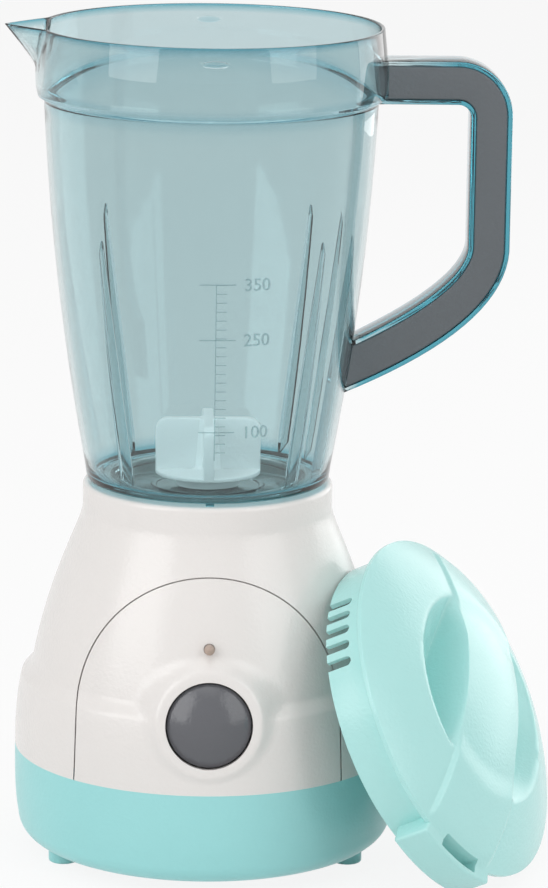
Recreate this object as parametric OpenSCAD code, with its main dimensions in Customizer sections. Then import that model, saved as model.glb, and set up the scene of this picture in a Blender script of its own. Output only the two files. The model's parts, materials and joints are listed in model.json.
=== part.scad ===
// Toy blender: a battery-driven base, a clear jug with a spinning beater, and a strainer lid.
// Millimetres, +Z up. The jug's axis is Z and the table is z = 0. The button faces -Y and the
// handle +X. The lid lies beside the base, leaning on the housing.

/* [Base] */
// Radius of the base where tray and housing meet
base_r = 60.3; // [56:0.1:80]
// Height of the table-to-tray gap, set by the feet
foot_h = 4; // [3:0.1:8]
// Height of the tray and housing seam above the table
seam_z = 33.7; // [33:0.1:45]
// Radius of each foot
foot_r = 4.7; // [4.5:0.1:7]
// Distance of the feet from the axis, measured in from the base radius
foot_inset = 11.3; // [10:0.1:14]
// Angle of the feet from the sides
foot_angle = 24.6; // [15:0.1:35]
// Wall of the moulded housings
wall = 2.2; // [1.6:0.1:3]
// Floor of the tray
tray_floor = 2.4; // [2:0.1:4]

/* [Housing] */
// Height of the flared band above the seam
band_h = 22.7; // [18:0.1:32]
// How far the band draws in at its top edge
band_draft = 2.1; // [1:0.1:4]
// Height of the sloping step above the band
step_h = 3.6; // [2:0.1:6]
// Depth of that step
step_d = 3.3; // [2:0.1:5]
// Height of the tapering body above the step
taper_h = 50.8; // [44:0.1:70]
// Radius of the collar
collar_r = 39.1; // [37.5:0.1:46]
// Height of the collar
collar_h = 7.8; // [6:0.1:14]
// Radius of the socket that the jug stands in
socket_r = 31.2; // [30:0.1:34]
// Depth of the socket
socket_d = 17.1; // [16:0.1:20]

/* [Front panel] */
// Half width of the arched panel
panel_half_w = 40.6; // [34:0.1:46]
// Height of the arch's spring line above the seam
panel_spring_h = 19.3; // [10:0.1:26]
// Rise of the arch above its spring line
panel_rise = 45; // [36:0.1:52]
// Gap around the panel
panel_gap = 0.35; // [0.2:0.05:0.8]

/* [Button and board] */
// Radius of the button
button_r = 12.9; // [11:0.1:15]
// Height of the button's centre above the seam
button_h = 21.6; // [19:0.1:25]
// Backward tilt of the button's face
button_tilt = 8.5; // [6:0.5:12]
// Gap around the button
button_gap = 0.45; // [0.35:0.05:0.8]
// Travel of the button
button_travel = 2; // [1:0.1:2.4]
// Radius of the raised ring around the button, at its face
hill_r = 16.3; // [15.8:0.1:20]
// Distance from the button's face to the circuit board
board_depth = 20; // [19:0.1:23]
// Thickness of the circuit board
board_t = 1.6; // [1:0.1:2]
// Radius of the indicator lamp
lamp_r = 1.6; // [1.2:0.1:2.5]
// Height of the lamp above the button's centre, along the face
lamp_up = 23.0; // [21:0.1:26]

/* [Batteries] */
// Radius of a battery
cell_r = 7.1; // [5:0.1:7.1]
// Length of a battery's body
cell_l = 49.2; // [42:0.1:52]
// Thickness of the battery door
door_t = 1.8; // [1.4:0.1:2.4]

/* [Motor and drive] */
// Radius of the motor can
motor_r = 12; // [10:0.1:14]
// Length of the motor can
motor_l = 29; // [22:0.1:34]
// Radius of the motor shaft
motor_shaft_r = 1; // [0.8:0.05:1.6]
// Radius of the drive dog's posts, outside
dog_r = 10; // [8:0.1:14]

/* [Jug] */
// Height of the jug from its lugs to the rim
jug_h = 142.9; // [120:0.1:180]
// Outer radius at the bottom of the wall
jug_foot_r = 37.9; // [36:0.1:44]
// Outer radius under the top band
jug_shoulder_r = 51.5; // [46:0.1:62]
// Height of the top band, from step to rim
jug_band_h = 22.6; // [16:0.1:30]
// Inside radius of the mouth
mouth_r = 51.8; // [46:0.1:63]
// Wall of the jug
jug_wall = 1.6; // [1.2:0.1:2.4]
// Reach of the spout beyond the mouth's inside
spout_reach = 12.5; // [8:0.1:18]
// Depth of the spout below the rim
spout_d = 12.8; // [8:0.1:16]
// Reach of the handle from the axis
handle_reach = 92.4; // [84:0.1:112]
// Thickness of the handle
handle_t = 14; // [10:0.1:18]
// Rim of clear material around the handle's grip inlays
handle_rim = 1.4; // [1:0.1:2.4]

/* [Beater] */
// Radius of the beater's disc
beater_r = 16.4; // [12:0.1:22]
// Height of the beater's vanes
vane_h = 16.1; // [10:0.1:20]
// Thickness of the vanes
vane_t = 3.4; // [2:0.1:4.5]
// Radius of the beater's shaft
beater_shaft_r = 1.5; // [1:0.05:2]

/* [Lid] */
// Gap between the lid's plug and the mouth
plug_gap = 0.35; // [0.3:0.05:0.8]
// Height of the plug skirt below the flange
plug_h = 13.2; // [10:0.1:18]
// Wall of the lid
lid_wall = 1.6; // [1.2:0.1:2.4]
// Rise of the lid's dome
dome_h = 14.8; // [10:0.1:20]
// Number of slots in the strainer comb
comb_count = 5; // [3:1:7]
// Width of one strainer slot
comb_w = 3.1; // [2:0.1:4]
// Reach of the pull tab beyond the lid's flange
tab_reach = 3.2; // [1.5:0.1:5]
// Lean of the lid as it lies against the base
lid_lean = 63.8; // [58:0.1:68]

/* [Hidden] */
$fn = 64;
e = 0.05;                 // overshoot of cuts
free = 0.35;              // gap between curved faces of pieces that move apart
run = 0.05;               // radial clearance of a running shaft
fit = 0.1;                // gap of pieces that are screwed together

white = [0.93, 0.91, 0.89];
aqua = [0.60, 0.85, 0.84];
steel = [0.75, 0.76, 0.78];
clear_teal = [0.55, 0.80, 0.82, 0.45];

// Curves
function bez2(a, b, c, n) =
    [for (i = [0:n]) let (t = i / n) (1 - t) * (1 - t) * a + 2 * t * (1 - t) * b + t * t * c];
function bez3(a, b, c, d, n) =
    [for (i = [0:n]) let (t = i / n, u = 1 - t)
        u * u * u * a + 3 * u * u * t * b + 3 * u * t * t * c + t * t * t * d];
function arc(cx, cy, r, a0, a1, n) =
    [for (i = [0:n]) let (a = a0 + (a1 - a0) * i / n) [cx + r * cos(a), cy + r * sin(a)]];
function drawn_in(pts, d) = [for (p = pts) [p[0] - d, p[1]]];

// Heights and radii of the housing
band_z = seam_z + band_h;
band_top_r = base_r - band_draft;
taper_z = band_z + step_h;
taper_r = band_top_r - step_d;
collar_z = taper_z + taper_h;
collar_top = collar_z + collar_h;
collar_round = 1.4;
plate_z = collar_top - socket_d;
plate_t = 2;
socket_wall = 2;
housing_curve = concat(
    bez2([base_r, seam_z], [base_r + 0.1, seam_z + 0.55 * band_h], [band_top_r, band_z], 5),
    bez3([taper_r, taper_z], [taper_r - 0.36 * (taper_r - collar_r), taper_z + 0.595 * taper_h],
         [collar_r, collar_z - 5.7], [collar_r, collar_z], 9));

// Tray
tray_corner = 7.3;
tray_foot_r = base_r - 1.1;
tray_curve = concat(
    [[base_r, seam_z]], bez2([base_r, seam_z - 5], [base_r, foot_h + 12],
        [tray_foot_r, foot_h + tray_corner], 3),
    arc(tray_foot_r - tray_corner, foot_h + tray_corner, tray_corner, -15, -90, 5));
foot_ring = base_r - foot_inset;
boss_r = 4.9;
boss_z = seam_z - 3.4;
post_r = 3.4;
screw_r = 1.3;
screw_hole_r = 1.6;
screw_head_r = 2.6;
head_recess_r = 3;
head_z = foot_h + 8;
lip_r = base_r - wall - 0.5;
lip_t = 1.4;
lip_h = 2.6;

// Battery bay: two cells side by side across the base
cell_gap = 0.5;
cell_y = cell_r + cell_gap / 2;
nub_l = 1.2;
nub_r = 2.7;
contact_t = 0.5;
spring_l = 6.6;
bay_x = (cell_l + nub_l + spring_l + 2 * contact_t) / 2 + fit;
bay_y = 2 * cell_r + cell_gap + 0.4;
bay_wall = 1.5;
door_z = foot_h;
ledge_z = door_z + door_t + fit;
pad_top = ledge_z + 2.1;
cell_z = ledge_z + cell_r + 0.4;
bay_top = cell_z + cell_r + 0.5;
door_x = bay_x + 2.4;
door_y = bay_y + 1.6;
ear_y = door_y + 4.2;
ear_r = 5;
ear_hole_r = 1.5;
lug_w = 4;
lug_top = bay_top + bay_wall + 3.2;

// Button frame: local +Z points out of the button's face
button_z = seam_z + button_h;
button_face_r = band_top_r + 0.2;
hill_foot_r = hill_r + 3.2;
hill_d = 4;
guide_r = button_r + button_gap;
guide_l = 8.6;
flange_r = guide_r + 0.85;
flange_t = 1.2;
stem_r = 2;
switch_top = 6.5;
stem_end = switch_top - board_depth + button_travel + 0.2;
plunger_l = -stem_end - (board_depth - switch_top) + 5.2;
board_w = 34;
board_up = 27;
board_down = 15.5;
board_post = [[-14, 21], [14, 21], [-14, -12], [14, -12]];

// Arch of the front panel, which lies on a ledge inside the housing
spring_z = seam_z + panel_spring_h;
panel_t = wall - 0.1;
ledge_t = 2;
ledge_reach = 2.4;

// Motor and drive, hung under the socket floor
motor_top = plate_z - plate_t - 3.5;
motor_bottom = motor_top - motor_l;
mount_wall = 1.8;
mount_floor = 2;
ear_x = motor_r + 7.2;
mount_ear_z = motor_top - 6;
mount_ear_t = 2.6;
dog_disc_z = plate_z + 1.6;
dog_disc_t = 2.2;
dog_post_h = 4.2;
dog_in_r = 5;
dog_sweep = 30;
driven_z = dog_disc_z + dog_disc_t + 0.6;
driven_h = dog_post_h - 0.2;

// Jug
lug_h = 1;
jug_z = collar_top + lug_h;
rim_z = collar_top + jug_h;
dish_r = socket_r - 0.7;
dish_z = jug_z - 6.1;
dish_floor = dish_z + 2.7;
shoulder_z = rim_z - jug_band_h;
mouth_low = shoulder_z + 3.5;
band_out_r = mouth_r + 2.4;
jug_curve = bez2([jug_foot_r, jug_z + 1.6],
    [0.19 * jug_foot_r + 0.81 * jug_shoulder_r, (jug_z + shoulder_z) / 2],
    [jug_shoulder_r, shoulder_z], 8);
bush_r = 3.2;
boss_out_r = 5.4;
boss_low = dish_z - 2.6;
boss_high = dish_floor + 3;
beater_z = dish_floor + 4.8;
hub_r = 9.9;
disc_t = 1.6;
vane_core_r = 3.2;
shaft_low = driven_z;
shaft_high = beater_z + disc_t + 7;

// Handle outline in the plane of the jug's axis
handle_top = rim_z - 9.7;
handle_bar = 13.4;
handle_corner = 17;
handle_low = rim_z - 114;
handle_inner = handle_reach - 12.8;
wall_in = jug_shoulder_r - 1.2;
web_half = 1.2;
function lean_x(z) = lookup((z - jug_z) / (shoulder_z - jug_z),
    [[0, jug_foot_r], [0.25, jug_foot_r + 5.8], [0.5, jug_foot_r + 9.3], [1, jug_shoulder_r]]);
function handle_line(d) = concat(
    [[wall_in, handle_top - d]],
    arc(handle_reach - handle_corner, handle_top - handle_corner, handle_corner - d, 90, 0, 8),
    bez2([handle_reach - d, handle_top - 59], [handle_reach - 1.4 - d, handle_low + 21 + d],
         [lean_x(handle_low) - 1.5, handle_low + d], 9),
    bez2([lean_x(handle_low + 17) - 1.2, handle_low + 16.6 - d],
         [handle_inner - 1.1 + d, handle_top - 70.5 - d], [handle_inner + d, handle_top - 58], 9),
    arc(handle_inner - 4, handle_top - handle_bar - 4, 4 + d, 0, 90, 5),
    [[wall_in, handle_top - handle_bar + d]]);

// Lid
plug_r = mouth_r - plug_gap;
lid_r = band_out_r + 0.6;
flange_z = plug_h;
flange_t2 = 1.6;
dome_z = flange_z + flange_t2;
dome_R = (lid_r * lid_r + dome_h * dome_h) / (2 * dome_h);
comb_at = -138;
comb_step = 6.4;
comb_depth = 8.4;
tab_at = -46;
tab_sweep = 36;
tab_low = 2.5;
tab_top = flange_z + 0.9;
tab_wall = 1.2;
slot_sweep = 19;
grip_turn = -50;
grip_half = 14.5;
pocket_r = 33.7;
pocket_z = dome_z - 3;
pocket_edge_z = dome_z + dome_h - dome_R + sqrt(dome_R * dome_R - pocket_r * pocket_r);
lid_azimuth = -25;
lid_place = -18.9;
lid_out = base_r + lid_r - 45.9;
lid_up = plug_r * sin(lid_lean) + 0.15;

// ---------------------------------------------------------------- shared shapes

// Solid of the housing's outside, drawn in by d, up to height top
module housing_solid(d, top) {
    curve = drawn_in(housing_curve, d);
    last = curve[len(curve) - 1];
    rotate_extrude() polygon(concat([[0, seam_z]], curve,
        d > 0 ? [[last[0], top], [0, top]]
              : concat(arc(last[0] - collar_round, top - collar_round, collar_round, 0, 90, 4),
                       [[0, top]])));
}

// Layer of the housing wall between two depths
module housing_layer(from, to) {
    difference() {
        housing_solid(from, collar_top - 2);
        housing_solid(to, collar_top - 2 + e);
    }
}

// Prism of the arched panel, grown by d
module arch_prism(d) {
    rx = panel_half_w + d;
    rz = panel_rise + d;
    translate([0, -25, 0]) rotate([90, 0, 0]) linear_extrude(base_r)
        polygon(concat([[-rx - 0.6, seam_z - 1]],
            [for (i = [0:24]) let (a = 180 - i * 7.5) [rx * cos(a), spring_z + rz * sin(a)]],
            [[rx + 0.6, seam_z - 1]]));
}

module at_button() {
    translate([0, -button_face_r, button_z]) rotate([90 - button_tilt, 0, 0]) children();
}

module at_feet() {
    for (sx = [-1, 1], sy = [-1, 1])
        translate([sx * foot_ring * cos(foot_angle), sy * foot_ring * sin(foot_angle), 0])
            children();
}

module tube(r_out, r_in, h) {
    difference() {
        cylinder(r = r_out, h = h);
        translate([0, 0, -e]) cylinder(r = r_in, h = h + 2 * e);
    }
}

// Sector of a tube, centred on +X
module tube_sector(r_out, r_in, h, sweep) {
    rotate([0, 0, -sweep / 2]) rotate_extrude(angle = sweep)
        translate([r_in, 0]) square([r_out - r_in, h]);
}

// Pan-head screw pointing along +Z from its head's underside at z = 0
module screw(r, l, head_r, head_h) {
    cylinder(r = r, h = l);
    difference() {
        translate([0, 0, -head_h]) cylinder(r = head_r, h = head_h);
        for (a = [0, 90]) rotate([0, 0, a])
            translate([-head_r * 0.6, -0.35, -head_h - e]) cube([head_r * 1.2, 0.7, 0.8]);
    }
}

// Round wire coiled along +Z, its ends ground into closed turns
module coil(r0, r1, wire_r, l, turns) {
    rings = turns * 16;
    sides = 6;
    pts = [for (i = [0:rings]) let (t = i / rings, a = 360 * turns * t, r = r0 + (r1 - r0) * t,
            z = wire_r + (l - 2 * wire_r) * t)
        for (k = [0:sides - 1]) let (b = 360 * k / sides, q = r + wire_r * cos(b))
            [q * cos(a), q * sin(a), z + wire_r * sin(b)]];
    polyhedron(pts, concat(
        [[for (k = [sides - 1:-1:0]) k]],
        [for (i = [0:rings - 1], k = [0:sides - 1]) let (a = i * sides + k,
            b = i * sides + (k + 1) % sides) each [[a, b, a + sides], [b, b + sides, a + sides]]],
        [[for (k = [0:sides - 1]) rings * sides + k]]));
}

// Insulated lead along the smooth curve of four points
module lead(p, r) {
    path = bez3(p[0], p[1], p[2], p[3], 18);
    last = len(path) - 1;
    sides = 8;
    pts = [for (i = [0:last]) let (d = path[min(i + 1, last)] - path[max(i - 1, 0)],
            u = cross(d, [0.3, 0.1, 1]), v = cross(d, u), un = u / norm(u), vn = v / norm(v))
        for (k = [0:sides - 1]) let (a = 360 * k / sides)
            path[i] + r * cos(a) * un + r * sin(a) * vn];
    polyhedron(pts, concat(
        [[for (k = [sides - 1:-1:0]) k]],
        [for (i = [0:last - 1], k = [0:sides - 1]) let (a = i * sides + k,
            b = i * sides + (k + 1) % sides) each [[a, b, a + sides], [b, b + sides, a + sides]]],
        [[for (k = [0:sides - 1]) last * sides + k]]));
}

// ---------------------------------------------------------------- base

module bay_box(grow, top) {
    translate([-bay_x - grow, -bay_y - grow, door_z - e])
        cube([2 * (bay_x + grow), 2 * (bay_y + grow), top - door_z + e]);
}

module door_outline(d, h) {
    translate([-door_x + d, -door_y + d, 0]) cube([2 * (door_x - d), 2 * (door_y - d), h]);
    for (s = [-1, 1]) {
        translate([0, s * ear_y, 0]) cylinder(r = ear_r - d, h = h);
        translate([-ear_r + d, s > 0 ? 0 : -ear_y, 0]) cube([2 * (ear_r - d), ear_y, h]);
    }
}

module base_tray() color(aqua) {
    difference() {
        union() {
            difference() {
                rotate_extrude() polygon(concat([[0, seam_z]], tray_curve, [[0, foot_h]]));
                rotate_extrude() polygon(concat([[0, seam_z + e], [base_r - wall, seam_z + e]],
                    arc(tray_foot_r - tray_corner, foot_h + tray_floor + tray_corner - wall,
                        tray_corner - wall, 0, -90, 5), [[0, foot_h + tray_floor]]));
            }
            at_feet() {
                cylinder(r = foot_r, h = foot_h + tray_floor);
                translate([0, 0, foot_h]) cylinder(r = boss_r, h = boss_z - foot_h);
            }
            translate([0, 0, seam_z - 4]) tube(lip_r, lip_r - lip_t, 4 + lip_h);
            translate([0, 0, seam_z - 4]) tube(base_r - wall / 2, lip_r - lip_t, 2);
            bay_box(bay_wall, bay_top + bay_wall);
            translate([0, 0, foot_h]) door_outline(-2, pad_top - foot_h);
            for (s = [-1, 1]) translate([0, s * ear_y, foot_h])
                cylinder(r = 3, h = pad_top + 4 - foot_h);
        }
        translate([0, 0, door_z - e]) door_outline(-fit, ledge_z - door_z + e);
        bay_box(0, bay_top);
        for (s = [-1, 1]) translate([0, s * ear_y, foot_h]) cylinder(r = screw_r, h = pad_top);
        at_feet() {
            translate([0, 0, -e]) cylinder(r = head_recess_r, h = head_z + e);
            cylinder(r = screw_hole_r, h = seam_z);
        }
        for (s = [-1, 1]) translate([bay_x - contact_t - fit, s * cell_y - lug_w / 2 - fit,
            bay_top - e]) cube([contact_t + 2 * fit, lug_w + 2 * fit, bay_wall + 2 * e]);
    }
}

module battery_door() color(aqua) difference() {
    translate([0, 0, door_z]) door_outline(fit, door_t);
    for (s = [-1, 1]) translate([0, s * ear_y, door_z - e])
        cylinder(r = ear_hole_r, h = door_t + 2 * e);
    for (s = [-1, 1]) translate([0, s * ear_y, door_z - e])
        cylinder(r = screw_head_r + 0.2, h = 1);
}

module battery_door_screws() color(steel)
    for (s = [-1, 1]) translate([0, s * ear_y, door_z + 0.95]) screw(screw_r - 0.01, 9, 2.5, 0.9);

// A cell lies along X with its nub at +X
module cell() {
    rotate([0, 90, 0]) cylinder(r = cell_r, h = cell_l);
    translate([cell_l, 0, 0]) rotate([0, 90, 0]) cylinder(r = nub_r, h = nub_l);
}
cell_start = -bay_x + contact_t + spring_l + fit;

module battery_front() color([0.2, 0.2, 0.22]) translate([cell_start, -cell_y, cell_z]) cell();

module battery_rear() color([0.2, 0.2, 0.22])
    mirror([1, 0, 0]) translate([cell_start, cell_y, cell_z]) cell();

// Flat contact plate standing against the wall of the bay at -X, with an optional cone spring
module contact(y0, y1, with_spring, spring_y) {
    plate_h = 2 * cell_r - 2;
    translate([-bay_x, y0, cell_z - plate_h / 2]) cube([contact_t, y1 - y0, plate_h]);
    if (with_spring) translate([-bay_x + contact_t - 0.1, spring_y, cell_z]) rotate([0, 90, 0])
        coil(5, 3, 0.35, spring_l + 0.1, 4);
}

module bridge_contact() color(steel)
    contact(-cell_y - 5, cell_y + 5, true, -cell_y);

module terminal(y, with_spring) {
    mirror([1, 0, 0]) contact(y - 5, y + 5, with_spring, y);
    translate([bay_x - contact_t, y - lug_w / 2, cell_z]) cube([contact_t, lug_w, lug_top - cell_z]);
}

module terminal_positive() color(steel) terminal(-cell_y, false);

module terminal_negative() color(steel) terminal(cell_y, true);

module housing_screws() color(steel)
    at_feet() translate([0, 0, head_z]) screw(screw_r, boss_z + 14 - head_z, screw_head_r, 2);

// ---------------------------------------------------------------- housing

module housing_shell() color(white) {
    difference() {
        union() {
            difference() {
                housing_solid(0, collar_top);
                difference() {
                    housing_solid(wall, collar_top - 2);
                    translate([0, 0, plate_z - plate_t])
                        cylinder(r = socket_r + socket_wall, h = socket_d + plate_t);
                }
                translate([0, 0, seam_z - e]) cylinder(r = base_r - wall, h = 2 * e);
            }
            intersection() {
                at_feet() translate([0, 0, boss_z]) cylinder(r = post_r, h = taper_z + 6 - boss_z);
                union() {
                    housing_solid(e, collar_top - 2);
                    translate([0, 0, boss_z]) cylinder(r = base_r - wall - 3, h = 6);
                }
            }
        }
        translate([0, 0, plate_z]) cylinder(r = socket_r, h = socket_d + e);
        translate([0, 0, plate_z - plate_t - e]) cylinder(r = 5, h = plate_t + 2 * e);
        arch_prism(panel_gap / 2);
        at_feet() translate([0, 0, boss_z - e]) cylinder(r = screw_r, h = 16);
    }
    // Ledge that the panel rests on from outside, and the hooks reach behind
    difference() {
        intersection() {
            housing_layer(wall - e, wall + ledge_t);
            difference() {
                arch_prism(3);
                arch_prism(-ledge_reach);
            }
        }
        translate([-base_r, -base_r, seam_z - e]) cube([2 * base_r, 2 * base_r, lip_h + 0.4]);
    }
    // Bosses for the motor mount
    for (s = [-1, 1]) translate([s * ear_x, 0, mount_ear_z]) difference() {
        cylinder(r = 3.4, h = plate_z - plate_t - mount_ear_z + e);
        translate([0, 0, -e]) cylinder(r = screw_r, h = 7);
    }
}

module front_panel() color(white) {
    difference() {
        union() {
            intersection() {
                housing_layer(0, panel_t);
                arch_prism(-panel_gap / 2);
            }
            intersection() {
                at_button() translate([0, 0, -hill_d])
                    cylinder(r1 = hill_foot_r + 0.3, r2 = hill_r, h = hill_d);
                arch_prism(-panel_gap / 2);
                translate([-base_r, -2 * base_r, band_z - 6])
                    cube([2 * base_r, 2 * base_r, taper_h]);
            }
            at_button() translate([0, 0, -guide_l]) cylinder(r = guide_r + 1.6, h = guide_l - 1);
            intersection() {
                at_button() for (p = board_post) translate([p[0], p[1], -board_depth])
                    cylinder(r = 2.4, h = board_depth);
                housing_solid(0.5, collar_top - 2);
            }
            panel_hooks();
        }
        at_button() {
            translate([0, 0, -guide_l - e]) cylinder(r = guide_r, h = guide_l + 10);
            for (p = board_post) translate([p[0], p[1], -board_depth - e]) cylinder(r = 0.9, h = 8);
            translate([0, lamp_up, -board_depth]) cylinder(r = lamp_r + 0.1, h = 40);
        }
    }
}

// Four snap hooks on the back of the panel that reach behind the ledge
module panel_hooks() {
    module at_hook(w) {
        for (p = [[-1, 0.62], [1, 0.62], [-1, 0.1], [1, 0.1]])
            translate([p[0] > 0 ? 10 : -base_r, -base_r, seam_z + 6 + p[1] * panel_rise])
                cube([base_r - 10, base_r, w]);
    }
    intersection() {
        at_hook(7);
        union() {
            intersection() {
                housing_layer(panel_t - 0.5, wall + ledge_t + 1.8);
                difference() {
                    arch_prism(-ledge_reach - 0.4);
                    arch_prism(-ledge_reach - 2);
                }
            }
            intersection() {
                housing_layer(wall + ledge_t + 0.3, wall + ledge_t + 1.8);
                difference() {
                    arch_prism(-ledge_reach + 1.4);
                    arch_prism(-ledge_reach - 2);
                }
            }
        }
    }
}

module start_button() color([0.42, 0.42, 0.44]) at_button() {
    cap_R = 50;
    face = 1.4;
    difference() {
        union() {
            intersection() {
                translate([0, 0, -guide_l - 0.1]) cylinder(r = button_r, h = guide_l + 6);
                translate([0, 0, face + 1.7 - cap_R]) sphere(r = cap_R, $fn = 96);
            }
            translate([0, 0, -guide_l - 0.1 - flange_t]) cylinder(r = flange_r, h = flange_t);
        }
        translate([0, 0, -guide_l - 0.1 - flange_t - e])
            cylinder(r = button_r - 1.6, h = guide_l + flange_t - 1);
    }
    translate([0, 0, stem_end]) cylinder(r = stem_r, h = -stem_end - 1);
}

module button_spring() color(steel) at_button()
    translate([0, 0, -board_depth + switch_top]) coil(4, 4, 0.35, board_depth - switch_top - 1.1, 6);

module switch_plunger() color([0.85, 0.3, 0.25]) at_button()
    translate([0, 0, stem_end - plunger_l]) cylinder(r = 1.6, h = plunger_l);

module push_switch() color([0.15, 0.15, 0.16]) at_button() difference() {
    translate([-4.5, -4.5, -board_depth]) cube([9, 9, switch_top]);
    translate([0, 0, -board_depth - e]) cylinder(r = 1.6 + free, h = switch_top + 2 * e);
}

module circuit_board() color([0.1, 0.42, 0.2]) at_button() difference() {
    translate([-board_w / 2, -board_down, -board_depth - board_t])
        cube([board_w, board_down + board_up, board_t]);
    for (p = board_post) translate([p[0], p[1], -board_depth - board_t - e])
        cylinder(r = 1.1, h = board_t + 2 * e);
}

module board_screws() color(steel) at_button() for (p = board_post)
    translate([p[0], p[1], -board_depth - board_t]) screw(0.9, 7, 2, 1.2);

module indicator_lamp() color([0.75, 0.68, 0.62]) at_button() translate([0, lamp_up, 0]) {
    translate([0, 0, -9]) cylinder(r = lamp_r, h = 5.6);
    translate([0, 0, -3.4]) sphere(r = lamp_r);
    translate([0, 0, -9.8]) cylinder(r = lamp_r + 0.4, h = 1);
    for (s = [-1, 1]) translate([s * 1.27 - 0.25, -0.25, -board_depth])
        cube([0.5, 0.5, board_depth - 9.5]);
}

// ---------------------------------------------------------------- leads

board_x = 8;
function board_point(x, up, off = 0.03) = let (d = board_depth + board_t + off) [x,
    -button_face_r + up * sin(button_tilt) + d * cos(button_tilt),
    button_z + up * cos(button_tilt) - d * sin(button_tilt)];
lead_r = 0.6;

function battery_lead(y, x_end) =
    [[bay_x + lead_r, y, lug_top - 1], [bay_x + 7, y, lug_top + 16],
     board_point(x_end, -13, 22), board_point(x_end, -13)];

function motor_lead(x, x_end) =
    [[x, 0, motor_bottom - mount_floor - 3.2], [x, 0, motor_bottom - mount_floor - 12],
     board_point(x_end, 2, 14), board_point(x_end, 2)];

module lead_battery_red() color("red") lead(battery_lead(-cell_y, board_x), lead_r);

module lead_battery_black() color([0.1, 0.1, 0.1]) lead(battery_lead(cell_y, board_x - 4), lead_r);

module lead_motor_red() color("red") lead(motor_lead(5, 3), lead_r);

module lead_motor_black() color([0.1, 0.1, 0.1]) lead(motor_lead(-5, -3), lead_r);

// ---------------------------------------------------------------- motor

can_t = 1;
module motor_can() color(steel) difference() {
    union() {
        translate([0, 0, motor_bottom + 2]) cylinder(r = motor_r, h = motor_l - 2);
        translate([0, 0, motor_top]) cylinder(r = 3, h = 1.6);
    }
    translate([0, 0, motor_bottom + 2 - e]) cylinder(r = motor_r - can_t, h = motor_l - 2 - can_t);
    translate([0, 0, motor_bottom]) cylinder(r = motor_shaft_r + run, h = motor_l + 10);
}

module motor_end_cap() color([0.9, 0.9, 0.88]) {
    difference() {
        union() {
            translate([0, 0, motor_bottom]) cylinder(r = motor_r, h = 2);
            translate([0, 0, motor_bottom + 2]) cylinder(r = motor_r - can_t - 0.1, h = 2);
            translate([0, 0, motor_bottom - 1.6]) cylinder(r = 3, h = 2);
        }
        translate([0, 0, motor_bottom - 0.6]) cylinder(r = motor_shaft_r + run, h = 10);
        translate([0, 0, motor_bottom + 2]) cylinder(r = motor_r - 3.4, h = 5);
    }
    for (s = [-1, 1]) translate([s * 5 - 1, -0.25, motor_bottom - mount_floor - 3])
        cube([2, 0.5, mount_floor + 3.5]);
}

module motor_magnets() color([0.25, 0.25, 0.27])
    for (a = [0, 180]) rotate([0, 0, a]) translate([0, 0, motor_bottom + 5])
        tube_sector(motor_r - can_t - 0.05, motor_r - can_t - 2, motor_l - 8, 130);

module motor_rotor() color([0.55, 0.4, 0.25]) difference() {
    union() {
        translate([0, 0, motor_bottom + 9]) for (a = [0, 120, 240]) rotate([0, 0, a]) {
            tube_sector(motor_r - 3.6, motor_r - 5.2, motor_l - 14, 96);
            translate([0, -1.5, 0]) cube([motor_r - 4.2, 3, motor_l - 14]);
        }
        translate([0, 0, motor_bottom + 9]) cylinder(r = 3.6, h = motor_l - 14);
        translate([0, 0, motor_bottom + 4.5]) cylinder(r = 2.6, h = 5);
    }
    translate([0, 0, motor_bottom]) cylinder(r = motor_shaft_r, h = motor_l);
}

module motor_shaft() color(steel)
    translate([0, 0, motor_bottom - 0.4])
        cylinder(r = motor_shaft_r, h = dog_disc_z + dog_disc_t - motor_bottom + 0.4);

module motor_mount() color([0.2, 0.2, 0.21]) difference() {
    union() {
        translate([0, 0, motor_bottom - mount_floor])
            cylinder(r = motor_r + fit + mount_wall, h = mount_ear_z - motor_bottom + mount_floor);
        translate([-ear_x, -4, mount_ear_z - mount_ear_t]) cube([2 * ear_x, 8, mount_ear_t]);
        for (s = [-1, 1]) translate([s * ear_x, 0, mount_ear_z - mount_ear_t])
            cylinder(r = 4, h = mount_ear_t);
    }
    translate([0, 0, motor_bottom]) cylinder(r = motor_r + fit, h = motor_l);
    for (s = [-1, 1]) translate([s * ear_x, 0, mount_ear_z - mount_ear_t - e])
        cylinder(r = screw_hole_r, h = mount_ear_t + 2 * e);
    translate([-7, -3.2, motor_bottom - mount_floor - e]) cube([14, 6.4, mount_floor + 2 * e]);
}

module motor_mount_screws() color(steel) for (s = [-1, 1])
    translate([s * ear_x, 0, mount_ear_z - mount_ear_t])
        screw(screw_r, mount_ear_t + 6, screw_head_r, 1.8);

module drive_dog() color([0.93, 0.93, 0.9]) difference() {
    union() {
        translate([0, 0, dog_disc_z]) cylinder(r = dog_r, h = dog_disc_t);
        translate([0, 0, dog_disc_z - 4.6]) cylinder(r = 3.4, h = 5);
        for (a = [0, 120, 240]) rotate([0, 0, a]) translate([0, 0, dog_disc_z + dog_disc_t - e])
            tube_sector(dog_r - 0.4, dog_in_r, dog_post_h + e, dog_sweep);
    }
    translate([0, 0, dog_disc_z - 5]) cylinder(r = motor_shaft_r, h = 5 + dog_disc_t + e);
}

// ---------------------------------------------------------------- jug

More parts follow.
